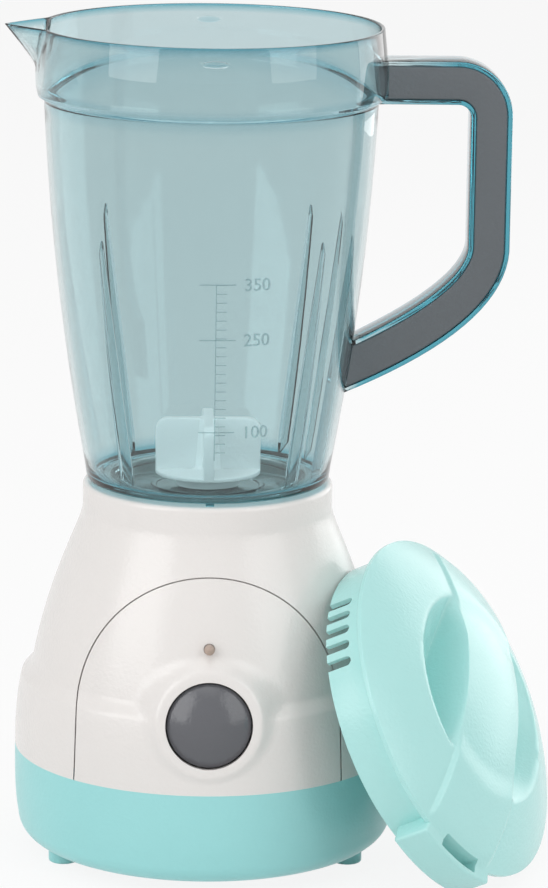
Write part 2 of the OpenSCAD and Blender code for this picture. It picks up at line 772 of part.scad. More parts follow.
module jug_wall_profile() {
    inner = drawn_in(jug_curve, jug_wall);
    polygon(concat(
        [[0, dish_z], [dish_r - 1, dish_z], [dish_r, dish_z + 1], [dish_r, jug_z],
         [jug_foot_r - 1.6, jug_z]],
        arc(jug_foot_r - 1.6, jug_z + 1.6, 1.6, -60, -15, 2), jug_curve,
        [[band_out_r - 1, shoulder_z + 1.5]],
        bez2([band_out_r - 0.4, shoulder_z + 2.6], [band_out_r + 0.3, shoulder_z + 10],
             [band_out_r - 1.1, rim_z - 0.6], 5),
        [[band_out_r - 1.7, rim_z], [mouth_r + 0.2, rim_z], [mouth_r, rim_z - 0.4],
         [mouth_r, mouth_low]],
        [for (i = [len(inner) - 1:-1:1]) inner[i]],
        [[jug_foot_r - jug_wall, jug_z + 2.6], [dish_r - 2.2, dish_floor + 0.8],
         [dish_r - 3.4, dish_floor], [boss_out_r, dish_floor], [boss_out_r, boss_high],
         [0, boss_high]]));
}

module handle_slab(d, y0, y1) {
    translate([0, y1, 0]) rotate([90, 0, 0]) linear_extrude(y1 - y0) polygon(handle_line(d));
}

module jug_inside(d) {
    curve = drawn_in(jug_curve, d);
    rotate_extrude() polygon(concat([[0, jug_z + 1]], curve,
        [[band_out_r + 0.1 - d, shoulder_z + 1.5], [band_out_r + 0.1 - d, rim_z + 9],
         [0, rim_z + 9]]));
}

// Spout as a wedge, drawn in by t on all sides
module spout_wedge(t) {
    tip = -mouth_r - spout_reach + 1.7 * t;
    root = -mouth_r + 4;
    half = 14.5 - 1.3 * t;
    intersection() {
        translate([0, 0, rim_z - spout_d - 5]) linear_extrude(spout_d + 5 + (t > 0 ? 1 : 0))
            polygon([[tip, -0.6], [tip, 0.6], [root, half], [root, -half]]);
        rotate([90, 0, 0]) linear_extrude(40, center = true)
            polygon([[tip, rim_z + 1], [tip, rim_z - 1.2 + 0.7 * t],
                     [-band_out_r + 0.6 + t, rim_z - spout_d + 1.2 * t],
                     [root, rim_z - spout_d - 3 + 1.2 * t], [root, rim_z + 1]]);
    }
}

rib_top = jug_z + 81;
module rib(az, reach) {
    inner = [for (p = drawn_in(jug_curve, jug_wall - 0.4)) if (p[1] < rib_top) p];
    rotate([90, 0, az]) linear_extrude(1.3, center = true) polygon(concat(
        inner, [[inner[len(inner) - 1][0] - 0.8, inner[len(inner) - 1][1] + 4],
        [jug_foot_r - jug_wall - reach, jug_z + 2]]));
}

module jug() color(clear_teal) difference() {
    union() {
        difference() {
            union() {
                rotate_extrude() jug_wall_profile();
                difference() {
                    spout_wedge(0);
                    spout_wedge(1.4);
                    jug_inside(jug_wall);
                }
            }
            intersection() {
                spout_wedge(1.4);
                translate([-mouth_r - 30, -30, rim_z - 40]) cube([33, 60, 60]);
            }
        }
        for (az = [-135, -45, 45, 135]) rib(az, 3.4);
        for (az = [-25, 25]) rib(az, 1.8);
        for (az = [0:90:270]) rotate([0, 0, az]) translate([jug_foot_r - 3.6, -1.3, collar_top])
            cube([2.2, 2.6, lug_h + 0.3]);
        translate([0, 0, boss_low]) cylinder(r = boss_out_r, h = dish_z - boss_low + e);
    }
    translate([0, 0, boss_low - e]) cylinder(r = bush_r, h = 20);
}

// Frame of the handle, moulded on the jug: an I in section, with a web between the grips
module jug_handle() color(clear_teal) difference() {
    handle_slab(0, -handle_t / 2, handle_t / 2);
    for (s = [-1, 1]) handle_slab(handle_rim,
        s > 0 ? web_half : -handle_t / 2 - e, s > 0 ? handle_t / 2 + e : -web_half);
    jug_inside(0);
}

module handle_grip(y0, y1) {
    difference() {
        handle_slab(handle_rim + 0.1, y0, y1);
        jug_inside(-0.2);
    }
}

module handle_grip_front() color([0.38, 0.40, 0.41]) handle_grip(-handle_t / 2, -web_half - 0.05);

module handle_grip_back() color([0.38, 0.40, 0.41]) handle_grip(web_half + 0.05, handle_t / 2);

module shaft_bush() color([0.9, 0.88, 0.8]) translate([0, 0, boss_low])
    tube(bush_r, beater_shaft_r + run, boss_high - boss_low);

module shaft_seal() color([0.15, 0.15, 0.15]) translate([0, 0, boss_high])
    tube(4.4, beater_shaft_r + run, 1);

module beater_shaft() color(steel) translate([0, 0, shaft_low])
    cylinder(r = beater_shaft_r, h = shaft_high - shaft_low);

module shaft_clip() color(steel) translate([0, 0, boss_low - 0.75])
    tube(3.2, beater_shaft_r, 0.6);

module driven_dog() color([0.93, 0.93, 0.9]) difference() {
    union() {
        translate([0, 0, driven_z]) cylinder(r = dog_in_r - 0.6, h = driven_h - 0.4);
        for (a = [60, 180, 300]) rotate([0, 0, a]) translate([0, 0, driven_z])
            tube_sector(dog_r - 0.5, dog_in_r - 1.2, driven_h - 0.8, dog_sweep);
    }
    translate([0, 0, driven_z - e]) cylinder(r = beater_shaft_r, h = 10);
}

module vane(l) {
    top = beater_z + disc_t + vane_h;
    translate([0, vane_t / 2, 0]) rotate([90, 0, 0]) linear_extrude(vane_t) polygon(concat(
        [[-l, beater_z + 0.4]], arc(-l + 4, top - 4, 4, 180, 90, 4),
        arc(l - 4, top - 4, 4, 90, 0, 4), [[l, beater_z + 0.4]]));
}

module beater() color([0.95, 0.96, 0.96]) difference() {
    union() {
        translate([0, 0, beater_z]) cylinder(r = beater_r, h = disc_t);
        translate([0, 0, dish_floor + 0.4]) cylinder(r = hub_r, h = beater_z - dish_floor);
        for (a = [0, 90]) rotate([0, 0, a]) vane(beater_r);
        translate([0, 0, beater_z]) cylinder(r = vane_core_r, h = disc_t + vane_h);
    }
    translate([0, 0, dish_floor]) cylinder(r = hub_r - 2.2, h = beater_z - dish_floor - 0.3);
    translate([0, 0, dish_floor]) cylinder(r = beater_shaft_r, h = shaft_high - dish_floor);
}

// ---------------------------------------------------------------- lid

// Solid of revolution with the given points at its foot and side, closed by the dome drawn in by d
module under_dome(d, side) {
    r = side[len(side) - 1][0];
    rotate_extrude() polygon(concat(side,
        arc(0, dome_z + dome_h - dome_R, dome_R - d, acos(r / (dome_R - d)), 90, 12)));
}

// Outline of one strainer slot, open at the skirt's free edge
module comb_slot() {
    linear_extrude(10) polygon(concat([[-comb_w / 2, -e], [comb_w / 2, -e]],
        arc(0, comb_depth - comb_w / 2, comb_w / 2, 0, 180, 8)));
}

// Finger recesses on both sides of the grip bar, scooped down towards it and grown by d
module finger_pocket(d) {
    for (s = [0, 180]) rotate([0, 0, grip_turn + s]) intersection() {
        rotate_extrude() polygon([[0, pocket_z - d], [grip_half, pocket_z - d],
            [pocket_r + d, pocket_edge_z - d], [pocket_r + d, dome_z + dome_h + 5],
            [0, dome_z + dome_h + 5]]);
        translate([-pocket_r - 5, grip_half - d, 0])
            cube([2 * pocket_r + 10, pocket_r, dome_z + dome_h + 10]);
    }
}

module lid_shape() {
    difference() {
        union() {
            under_dome(0, [[0, 0], [plug_r, 0], [plug_r, flange_z], [lid_r, flange_z]]);
            rotate([0, 0, tab_at]) translate([0, 0, tab_low])
                tube_sector(lid_r + tab_reach, plug_r - lid_wall / 2, tab_top - tab_low, tab_sweep);
        }
        difference() {
            under_dome(lid_wall, [[0, -e], [plug_r - lid_wall, -e]]);
            finger_pocket(lid_wall);
        }
        finger_pocket(0);
        for (i = [0:comb_count - 1])
            rotate([0, 0, comb_at + (i - (comb_count - 1) / 2) * comb_step])
                translate([plug_r - 5, 0, 0]) rotate([90, 0, 90]) comb_slot();
        rotate([0, 0, tab_at]) translate([0, 0, tab_low + 4])
            tube_sector(lid_r + tab_reach - tab_wall, plug_r + 1.4, dome_h, slot_sweep);
    }
}

module lid() color(aqua)
    translate([lid_out * cos(lid_place), lid_out * sin(lid_place), lid_up])
        rotate([0, lid_lean, lid_azimuth]) lid_shape();

base_tray();
battery_door();
battery_door_screws();
battery_front();
battery_rear();
bridge_contact();
terminal_positive();
terminal_negative();
housing_screws();
housing_shell();
front_panel();
start_button();
button_spring();
switch_plunger();
push_switch();
circuit_board();
board_screws();
indicator_lamp();
lead_battery_red();
lead_battery_black();
lead_motor_red();
lead_motor_black();
motor_can();
motor_end_cap();
motor_magnets();
motor_rotor();
motor_shaft();
motor_mount();
motor_mount_screws();
drive_dog();
jug();
jug_handle();
handle_grip_front();
handle_grip_back();
shaft_bush();
shaft_seal();
beater_shaft();
shaft_clip();
driven_dog();
beater();
lid();
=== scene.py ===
"""Looks of a toy blender: base with a battery motor, clear jug with a beater, strainer lid.

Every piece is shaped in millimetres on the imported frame's own axes (+Z up, the jug's axis on Z,
the button facing -Y) and is brought to metres when it is signed off.
"""

import json
import logging
import math
from dataclasses import dataclass, field
from enum import Enum
from typing import Callable, Sequence

import bpy
from mathutils import Matrix, Vector


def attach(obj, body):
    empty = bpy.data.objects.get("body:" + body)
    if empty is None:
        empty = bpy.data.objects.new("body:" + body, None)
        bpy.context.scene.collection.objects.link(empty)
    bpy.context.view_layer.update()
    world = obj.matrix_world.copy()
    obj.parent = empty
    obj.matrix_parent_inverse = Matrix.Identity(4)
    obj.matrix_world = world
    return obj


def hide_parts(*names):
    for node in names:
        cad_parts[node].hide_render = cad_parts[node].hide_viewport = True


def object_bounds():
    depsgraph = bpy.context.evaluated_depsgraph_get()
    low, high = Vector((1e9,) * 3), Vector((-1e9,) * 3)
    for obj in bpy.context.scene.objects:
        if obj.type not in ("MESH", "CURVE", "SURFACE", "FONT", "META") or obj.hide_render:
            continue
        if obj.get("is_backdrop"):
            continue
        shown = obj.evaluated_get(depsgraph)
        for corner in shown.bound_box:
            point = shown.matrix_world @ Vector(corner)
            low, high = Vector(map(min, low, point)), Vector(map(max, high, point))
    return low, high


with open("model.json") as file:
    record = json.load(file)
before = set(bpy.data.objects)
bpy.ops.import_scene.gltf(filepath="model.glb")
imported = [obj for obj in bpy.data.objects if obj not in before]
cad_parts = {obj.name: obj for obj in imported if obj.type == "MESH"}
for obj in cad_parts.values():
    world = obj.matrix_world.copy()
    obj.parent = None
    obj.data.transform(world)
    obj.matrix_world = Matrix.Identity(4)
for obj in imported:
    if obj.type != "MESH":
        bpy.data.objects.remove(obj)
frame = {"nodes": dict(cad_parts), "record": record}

logging.basicConfig(level=logging.INFO, format="%(message)s")
log = logging.getLogger("toy_blender")

MM = 0.001
WHOLE_TURN = 360.0
TINY = 1e-4
WELD = 0.0005
SIDES = (-1, 1)
CORNERS = tuple((sx, sy) for sx in SIDES for sy in SIDES)
Point = tuple[float, float]
Rule = Callable[[Vector], float]
Spread = Callable[[float, float], Vector]


class Cut(Enum):
    """How one solid is worked with another."""

    AWAY = "DIFFERENCE"
    TOGETHER = "UNION"
    SHARED = "INTERSECT"


class Part(Enum):
    """Bodies that the pieces ride on."""

    BASE = "base"
    DOOR = "battery_door"
    BUTTON = "button"
    JUG = "jug"
    BEATER = "beater"
    LID = "lid"


# ---------------------------------------------------------------- curves


def arc(cx: float, cz: float, r: float, start: float, stop: float, steps: int) -> list[Point]:
    """Gives points along a circular arc.

    Args:
        cx, cz: Centre of the arc.
        r: Radius.
        start, stop: Angles of its ends in degrees, from +X towards +Z.
        steps: Number of chords.

    Returns:
        The points from start to stop.
    """
    angles = [math.radians(start + (stop - start) * i / steps) for i in range(steps + 1)]
    return [(cx + r * math.cos(a), cz + r * math.sin(a)) for a in angles]


def bezier(points: Sequence[Point], steps: int) -> list[Point]:
    """Gives points along a Bezier curve of any degree.

    Args:
        points: Its control points.
        steps: Number of chords.

    Returns:
        The points from the first control point to the last.
    """
    line = []
    for i in range(steps + 1):
        t = i / steps
        row = [Vector(p) for p in points]
        while len(row) > 1:
            row = [a.lerp(b, t) for a, b in zip(row, row[1:])]
        line.append((row[0].x, row[0].y))
    return line


def rounded(corners: Sequence[tuple[float, float, float]], steps: int = 4) -> list[Point]:
    """Rounds the corners of an open outline.

    Args:
        corners: Corners as (x, z, radius), where radius 0 keeps the corner sharp.
        steps: Chords in each rounding.

    Returns:
        The points of the outline.
    """
    line: list[Point] = []
    for i, (x, z, r) in enumerate(corners):
        if r <= 0 or i in (0, len(corners) - 1):
            line.append((x, z))
            continue
        here = Vector((x, z))
        before = Vector(corners[i - 1][:2]) - here
        after = Vector(corners[i + 1][:2]) - here
        turn = before.angle(after) / 2
        reach = min(r / math.tan(turn), 0.49 * before.length, 0.49 * after.length)
        ends = here + before.normalized() * reach, here + after.normalized() * reach
        line += bezier([tuple(ends[0]), (x, z), tuple(ends[1])], steps)
    return line


def drawn_in(line: Sequence[Point], depth: float) -> list[Point]:
    """Gives the outline moved towards the axis by depth."""
    return [(x - depth, z) for x, z in line]


def height_on(line: Sequence[Point], z: float) -> float:
    """Finds the radius of an outline at a height.

    Args:
        line: Points (radius, z) in order of height, either way up.
        z: Height.

    Returns:
        The radius there, or that of the nearest end.
    """
    rising = sorted(line, key=lambda p: p[1])
    if z <= rising[0][1]:
        return rising[0][0]
    for (x0, z0), (x1, z1) in zip(rising, rising[1:]):
        if z <= z1:
            return x0 + (x1 - x0) * (z - z0) / max(z1 - z0, 1e-9)
    return rising[-1][0]


def eased(t: float) -> float:
    """Gives a smooth step from 0 to 1 for t from 0 to 1."""
    t = min(max(t, 0.0), 1.0)
    return t * t * (3 - 2 * t)


def blended(a: float, b: float, width: float) -> float:
    """Gives the larger of two values, with a fillet of the given width where they meet."""
    h = min(max(0.5 + 0.5 * (a - b) / width, 0.0), 1.0)
    return b + (a - b) * h + width * h * (1 - h)


# ---------------------------------------------------------------- modelling steps


def take(piece: bpy.types.Object) -> None:
    """Selects one piece alone and makes it active."""
    if bpy.context.object and bpy.context.object.mode != "OBJECT":
        bpy.ops.object.mode_set(mode="OBJECT")
    bpy.ops.object.select_all(action="DESELECT")
    piece.select_set(True)
    bpy.context.view_layer.objects.active = piece


def settle(piece: bpy.types.Object) -> bpy.types.Object:
    """Leaves edit mode and puts the object's place into its mesh.

    Args:
        piece: The piece.

    Returns:
        The same piece.
    """
    take(piece)
    bpy.ops.object.transform_apply(location=True, rotation=True, scale=True)
    return piece


def at(x: float, y: float, z: float = 0.0) -> Matrix:
    """Gives the matrix that moves a piece to a place."""
    return Matrix.Translation((x, y, z))


def turned(angle: float, axis: str = "Z") -> Matrix:
    """Gives the matrix that turns a piece by an angle in degrees."""
    return Matrix.Rotation(math.radians(angle), 4, axis)


def closed_up(piece: bpy.types.Object, weld: float = 0.0) -> bpy.types.Object:
    """Turns the faces of a piece in edit mode outward, and settles it.

    Args:
        piece: The piece.
        weld: Vertices nearer than this are merged first.

    Returns:
        The same piece.
    """
    bpy.ops.mesh.select_all(action="SELECT")
    if weld > 0:
        bpy.ops.mesh.remove_doubles(threshold=weld)
    bpy.ops.mesh.normals_make_consistent(inside=False)
    bpy.ops.object.mode_set(mode="OBJECT")
    return settle(piece)


def draw(name: str, line: Sequence[Vector]) -> bpy.types.Object:
    """Draws a chain of edges from one vertex by extruding it, and stays in edit mode.

    Args:
        name: Name of the new piece.
        line: Places of the vertices.

    Returns:
        The new piece.
    """
    bpy.ops.object.select_all(action="DESELECT")
    bpy.ops.mesh.primitive_plane_add(size=1, location=line[0])
    piece = bpy.context.object
    piece.name = piece.data.name = name
    bpy.ops.object.mode_set(mode="EDIT")
    bpy.ops.mesh.select_all(action="SELECT")
    bpy.ops.mesh.merge(type="CENTER")
    for here, there in zip(line, line[1:]):
        bpy.ops.mesh.extrude_region_move(TRANSFORM_OT_translate={"value": there - here})
    bpy.ops.mesh.select_all(action="SELECT")
    return piece


def lathe(name: str, profile: Sequence[Point], steps: int = 128,
          sweep: float = WHOLE_TURN, turn: float = 0.0) -> bpy.types.Object:
    """Turns a profile round the Z axis.

    Args:
        name: Name of the new piece.
        profile: Points (radius, z); it ends on the axis or where it began.
        steps: Facets in the sweep.
        sweep: Angle of the sweep in degrees; less than a whole turn is capped.
        turn: Angle where the sweep starts, from +X.

    Returns:
        A closed piece.
    """
    angle = math.radians(turn)
    way = Vector((math.cos(angle), math.sin(angle), 0))
    line = [way * r + Vector((0, 0, z)) for r, z in profile]
    piece = draw(name, line)
    whole = sweep >= WHOLE_TURN
    if not whole:
        bpy.ops.mesh.remove_doubles(threshold=TINY)
        bpy.ops.mesh.edge_face_add()
    bpy.ops.mesh.spin(steps=steps, angle=-math.radians(sweep), center=(0, 0, 0), axis=(0, 0, 1),
                      use_normal_flip=False)
    return closed_up(piece, 10 * TINY if whole else TINY)


def rod(name: str, r: float, low: float, high: float, steps: int = 32) -> bpy.types.Object:
    """Makes a plain cylinder on the Z axis."""
    return lathe(name, [(0, low), (r, low), (r, high), (0, high)], steps)


def sleeve(name: str, bore: float, r: float, low: float, high: float, edge: float = 0.0,
           steps: int = 32) -> bpy.types.Object:
    """Makes a tube on the Z axis.

    Args:
        name: Name of the new piece.
        bore, r: Its radii.
        low, high: Its ends.
        edge: Rounding of its lower outer edge.
        steps: Facets in the turn.

    Returns:
        A closed piece.
    """
    return lathe(name, rounded([(bore, low, 0), (r, low, edge), (r, high, 0), (bore, high, 0),
                                (bore, low, 0)]), steps)


def prism(name: str, outline: Sequence[Vector], way: Vector) -> bpy.types.Object:
    """Fills a flat outline and extrudes it.

    Args:
        name: Name of the new piece.
        outline: Its corners in order.
        way: Direction and length of the extrusion.

    Returns:
        A closed piece.
    """
    piece = draw(name, outline)
    bpy.ops.mesh.remove_doubles(threshold=TINY)
    bpy.ops.mesh.edge_face_add()
    bpy.ops.mesh.extrude_region_move(TRANSFORM_OT_translate={"value": way})
    return closed_up(piece)


def grid(columns: int, rows: int, spread: Spread) -> bpy.types.Object:
    """Shapes a skin from a flat grid, and stays in edit mode.

    Args:
        columns, rows: Cells of the grid along its two sides.
        spread: Gives a point's place from its two coordinates, each from -1 to 1.

    Returns:
        The open skin.
    """
    bpy.ops.object.select_all(action="DESELECT")
    bpy.ops.mesh.primitive_grid_add(x_subdivisions=columns, y_subdivisions=rows, size=2)
    piece = bpy.context.object
    for vertex in piece.data.vertices:
        vertex.co = spread(vertex.co.x, vertex.co.y)
    bpy.ops.object.mode_set(mode="EDIT")
    bpy.ops.mesh.select_all(action="SELECT")
    bpy.ops.mesh.remove_doubles(threshold=WELD)
    bpy.ops.mesh.normals_make_consistent(inside=False)
    return piece


def block(name: str, low: Vector, high: Vector, edge: float = 0.0) -> bpy.types.Object:
    """Makes a box between two corners, with its edges bevelled.

    Args:
        name: Name of the new piece.
        low, high: Its corners.
        edge: Width of the bevel.

    Returns:
        A closed piece.
    """
    bpy.ops.object.select_all(action="DESELECT")
    bpy.ops.mesh.primitive_cube_add(size=1, location=(low + high) / 2)
    piece = bpy.context.object
    piece.name = piece.data.name = name
    piece.scale = high - low
    settle(piece)
    if edge > 0:
        bpy.ops.object.mode_set(mode="EDIT")
        bpy.ops.mesh.select_all(action="SELECT")
        bpy.ops.mesh.bevel(offset=edge, segments=3, affect="EDGES")
        bpy.ops.object.mode_set(mode="OBJECT")
    return piece


def work(piece: bpy.types.Object, tool: bpy.types.Object, cut: Cut) -> bpy.types.Object:
    """Cuts, joins or trims a piece with a tool solid, which is used up.

    Args:
        piece: The piece worked on.
        tool: The other solid.
        cut: What is done.

    Returns:
        The same piece.
    """
    take(piece)
    step = piece.modifiers.new("work", "BOOLEAN")
    step.operation = cut.value
    step.solver = "EXACT"
    step.object = tool
    bpy.ops.object.modifier_apply(modifier=step.name)
    bpy.data.objects.remove(tool)
    return piece


def moved(piece: bpy.types.Object, matrix: Matrix) -> bpy.types.Object:
    """Puts a piece in its place by a matrix."""
    piece.matrix_world = matrix
    return settle(piece)


def bevelled(piece: bpy.types.Object, width: float, angle: float = 40.0,
             segments: int = 3) -> bpy.types.Object:
    """Rounds the sharp edges of a piece.

    Args:
        piece: The piece.
        width: Width of the rounding.
        angle: Edges sharper than this, in degrees, are rounded.
        segments: Chords in the rounding.

    Returns:
        The same piece.
    """
    take(piece)
    step = piece.modifiers.new("round", "BEVEL")
    step.width = width
    step.segments = segments
    step.limit_method = "ANGLE"
    step.angle_limit = math.radians(angle)
    step.use_clamp_overlap = True
    bpy.ops.object.modifier_apply(modifier=step.name)
    return piece


def thickened(piece: bpy.types.Object, wall: float) -> bpy.types.Object:
    """Gives an open skin a wall on its inner side."""
    take(piece)
    step = piece.modifiers.new("wall", "SOLIDIFY")
    step.thickness = wall
    step.offset = -1
    step.use_even_offset = False
    bpy.ops.object.modifier_apply(modifier=step.name)
    return piece


def painted(piece: bpy.types.Object, name: str, rule: Rule) -> bpy.types.Object:
    """Stores a value at each vertex for a finish to read.

    Args:
        piece: The piece.
        name: Name of the attribute.
        rule: Gives the value at a place in millimetres.

    Returns:
        The same piece.
    """
    layer = piece.data.attributes.new(name, "FLOAT", "POINT")
    for vertex, item in zip(piece.data.vertices, layer.data):
        item.value = rule(vertex.co)
    return piece


def signed_off(piece: bpy.types.Object, name: str, body: Part, look: "Look",
               stands_for: Sequence[str], smooth: float = 32.0) -> bpy.types.Object:
    """Brings a finished piece to metres, dresses it and hands it to the frame.

    Args:
        piece: The finished piece in millimetres.
        name: Its name.
        body: The body that it rides on.
        look: Its finish.
        stands_for: CAD nodes that it replaces.
        smooth: Edges sharper than this, in degrees, stay crisp.

    Returns:
        The same piece.
    """
    piece.name = piece.data.name = name
    moved(piece, Matrix.Scale(MM, 4))
    bpy.ops.object.shade_smooth_by_angle(angle=math.radians(smooth))
    piece.data.materials.clear()
    piece.data.materials.append(look.value.made())
    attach(piece, body.value)
    if stands_for:
        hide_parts(*stands_for)
    log.info("%s: %d faces on %s", name, len(piece.data.polygons), body.value)
    return piece


# ---------------------------------------------------------------- finishes


def linear(red: float, green: float, blue: float) -> tuple[float, float, float, float]:
    """Turns a screen colour of 0 to 255 into the shader's linear colour."""
    scaled = [c / 255 for c in (red, green, blue)]
    line = [c / 12.92 if c <= 0.04045 else ((c + 0.055) / 1.055) ** 2.4 for c in scaled]
    return (*line, 1.0)


@dataclass(frozen=True)
class Finish:
    """Gloss plastic, metal or card: a mottled colour, uneven gloss and a fine texture."""

    slot: str
    colour: tuple[float, float, float]
    shade: tuple[float, float, float]
    gloss: tuple[float, float] = (0.24, 0.32)
    metal: float = 0.0
    grain: float = 0.0004
    grain_size: float = 900.0
    patch_size: float = 38.0
    scatter: float = 0.0

    def made(self) -> bpy.types.Material:
        """Builds the finish once and hands it out again after that.

        Returns:
            The material.
        """
        name = self.slot + "_finish"
        found = bpy.data.materials.get(name)
        if found:
            return found
        material = bpy.data.materials.new(name)
        material.use_nodes = True
        tree = material.node_tree
        shader = tree.nodes["Principled BSDF"]
        place = tree.nodes.new("ShaderNodeTexCoord").outputs["Object"]
        mix = tree.nodes.new("ShaderNodeMix")
        mix.data_type = "RGBA"
        mix.inputs["A"].default_value = linear(*self.colour)
        mix.inputs["B"].default_value = linear(*self.shade)
        tree.links.new(self.patches(tree, place), mix.inputs["Factor"])
        tree.links.new(mix.outputs["Result"], shader.inputs["Base Color"])
        self.feel(tree, place, shader, mix.outputs["Result"])
        return material

    def patches(self, tree: bpy.types.NodeTree,
                place: bpy.types.NodeSocket) -> bpy.types.NodeSocket:
        """Gives how far the colour is on its way to the shade."""
        return self.noise(tree, place, self.patch_size, 3.0)

    def feel(self, tree: bpy.types.NodeTree, place: bpy.types.NodeSocket,
             shader: bpy.types.Node, colour: bpy.types.NodeSocket) -> None:
        """Sets the gloss, the fine texture and the depth of the surface.

        Args:
            tree: Node tree of the material.
            place: Coordinates that its textures read.
            shader: Its shader.
            colour: Its colour; not used by this plain finish.
        """
        gloss = tree.nodes.new("ShaderNodeMapRange")
        gloss.inputs["To Min"].default_value = self.gloss[0]
        gloss.inputs["To Max"].default_value = self.gloss[1]
        tree.links.new(self.noise(tree, place, self.patch_size * 4, 4.0), gloss.inputs["Value"])
        tree.links.new(gloss.outputs["Result"], shader.inputs["Roughness"])
        self.relief(tree, place, shader, self.grain_size, 0.25)
        shader.inputs["Metallic"].default_value = self.metal
        shader.inputs["IOR"].default_value = 1.5
        if self.scatter > 0:
            shader.inputs["Subsurface Weight"].default_value = self.scatter
            shader.inputs["Subsurface Radius"].default_value = (1.0, 1.0, 1.0)
            shader.inputs["Subsurface Scale"].default_value = 0.0015

    def relief(self, tree: bpy.types.NodeTree, place: bpy.types.NodeSocket,
               shader: bpy.types.Node, size: float, strength: float) -> None:
        """Adds the fine relief of the surface.

        Args:
            tree: Node tree of the material.
            place: Coordinates that its texture reads.
            shader: Its shader.
            size: Scale of the relief, per metre.
            strength: How strongly it shows.
        """
        bump = tree.nodes.new("ShaderNodeBump")
        bump.inputs["Strength"].default_value = strength
        bump.inputs["Distance"].default_value = self.grain
        tree.links.new(self.noise(tree, place, size, 2.0), bump.inputs["Height"])
        tree.links.new(bump.outputs["Normal"], shader.inputs["Normal"])

    @staticmethod
    def noise(tree: bpy.types.NodeTree, place: bpy.types.NodeSocket, scale: float,
              detail: float) -> bpy.types.NodeSocket:
        """Adds a noise texture.

        Args:
            tree: Node tree of the material.
            place: Coordinates that it reads.
            scale: Its scale, per metre.
            detail: Its octaves.

        Returns:
            Its value.
        """
        node = tree.nodes.new("ShaderNodeTexNoise")
        node.inputs["Scale"].default_value = scale
        node.inputs["Detail"].default_value = detail
        tree.links.new(place, node.inputs["Vector"])
        return node.outputs["Fac"]


@dataclass(frozen=True)
class ClearFinish(Finish):
    """Clear tinted plastic whose rims and ribs show the deeper tint of a longer way through."""

    roughness: float = 0.015
    ior: float = 1.49
    shade_gamma: float = 0.3

    def patches(self, tree: bpy.types.NodeTree,
                place: bpy.types.NodeSocket) -> bpy.types.NodeSocket:
        """Gives the depth of the tint that is stored on the piece."""
        tint = tree.nodes.new("ShaderNodeAttribute")
        tint.attribute_name = "tint"
        return tint.outputs["Fac"]

    def feel(self, tree: bpy.types.NodeTree, place: bpy.types.NodeSocket,
             shader: bpy.types.Node, colour: bpy.types.NodeSocket) -> None:
        """Makes the surface clear, with a slight waviness.

        Args:
            tree: Node tree of the material.
            place: Coordinates that its texture reads.
            shader: Its shader.
            colour: Its colour.
        """
        shader.inputs["Roughness"].default_value = self.roughness
        shader.inputs["Transmission Weight"].default_value = 1.0
        shader.inputs["IOR"].default_value = self.ior
        self.relief(tree, place, shader, self.patch_size, 0.12)
        self.let_light_through(tree, shader, colour)

    def let_light_through(self, tree: bpy.types.NodeTree, shader: bpy.types.Node,
                          colour: bpy.types.NodeSocket) -> None:
        """Lets shadow rays pass, tinted, so that the clear walls don't cast a solid shadow.

        Args:
            tree: Node tree of the material.
            shader: The shader that all other rays see.
            colour: Tint of the light that passes.
        """
        ray = tree.nodes.new("ShaderNodeLightPath")
        clear = tree.nodes.new("ShaderNodeBsdfTransparent")
        mix = tree.nodes.new("ShaderNodeMixShader")
        pale = tree.nodes.new("ShaderNodeGamma")
        pale.inputs["Gamma"].default_value = self.shade_gamma
        tree.links.new(colour, pale.inputs["Color"])
        tree.links.new(pale.outputs["Color"], clear.inputs["Color"])
        tree.links.new(ray.outputs["Is Shadow Ray"], mix.inputs["Fac"])
        tree.links.new(shader.outputs["BSDF"], mix.inputs[1])
        tree.links.new(clear.outputs["BSDF"], mix.inputs[2])
        tree.links.new(mix.outputs["Shader"], tree.nodes["Material Output"].inputs["Surface"])


class Look(Enum):
    """The object's finishes, each named for its material slot."""

    TURQUOISE = Finish("turquoise", (164, 226, 226), (158, 221, 221), (0.30, 0.38))
    WHITE = Finish("white", (236, 232, 229), (232, 228, 225), (0.16, 0.22))
    BUTTON = Finish("button_grey", (98, 99, 104), (93, 94, 99), (0.14, 0.20))
    GRIP = Finish("grip_grey", (99, 104, 108), (92, 97, 101), (0.34, 0.46), grain=0.0008)
    CLEAR = ClearFinish("clear_teal", (206, 222, 224), (76, 164, 182))
    MILKY = Finish("milky_white", (252, 253, 253), (247, 250, 250), (0.28, 0.40), scatter=0.4)
    LID = Finish("lid_aqua", (184, 235, 232), (179, 231, 228), (0.16, 0.22), scatter=0.15)
    LAMP = Finish("lamp", (186, 166, 152), (170, 150, 138), (0.10, 0.16), scatter=0.3)
    STEEL = Finish("steel", (190, 192, 196), (150, 152, 158), (0.22, 0.42), metal=1.0)
    CELL = Finish("cell", (58, 60, 66), (44, 46, 52), (0.30, 0.42))
    BLACK = Finish("black_moulding", (38, 39, 42), (28, 29, 31), (0.40, 0.55), grain=0.001)
    BOARD = Finish("board", (30, 104, 62), (24, 88, 52), (0.28, 0.50))
    RED = Finish("lead_red", (176, 30, 28), (158, 24, 22), (0.35, 0.50))
    DARK = Finish("lead_black", (30, 30, 32), (22, 22, 24), (0.35, 0.50))
    NYLON = Finish("nylon", (232, 231, 222), (222, 220, 210), (0.35, 0.50), scatter=0.3)
    COPPER = Finish("copper", (184, 112, 70), (150, 84, 50), (0.25, 0.45), metal=1.0)
    SEAL = Finish("seal", (40, 40, 42), (30, 30, 32), (0.55, 0.70), grain=0.001)


# ---------------------------------------------------------------- base


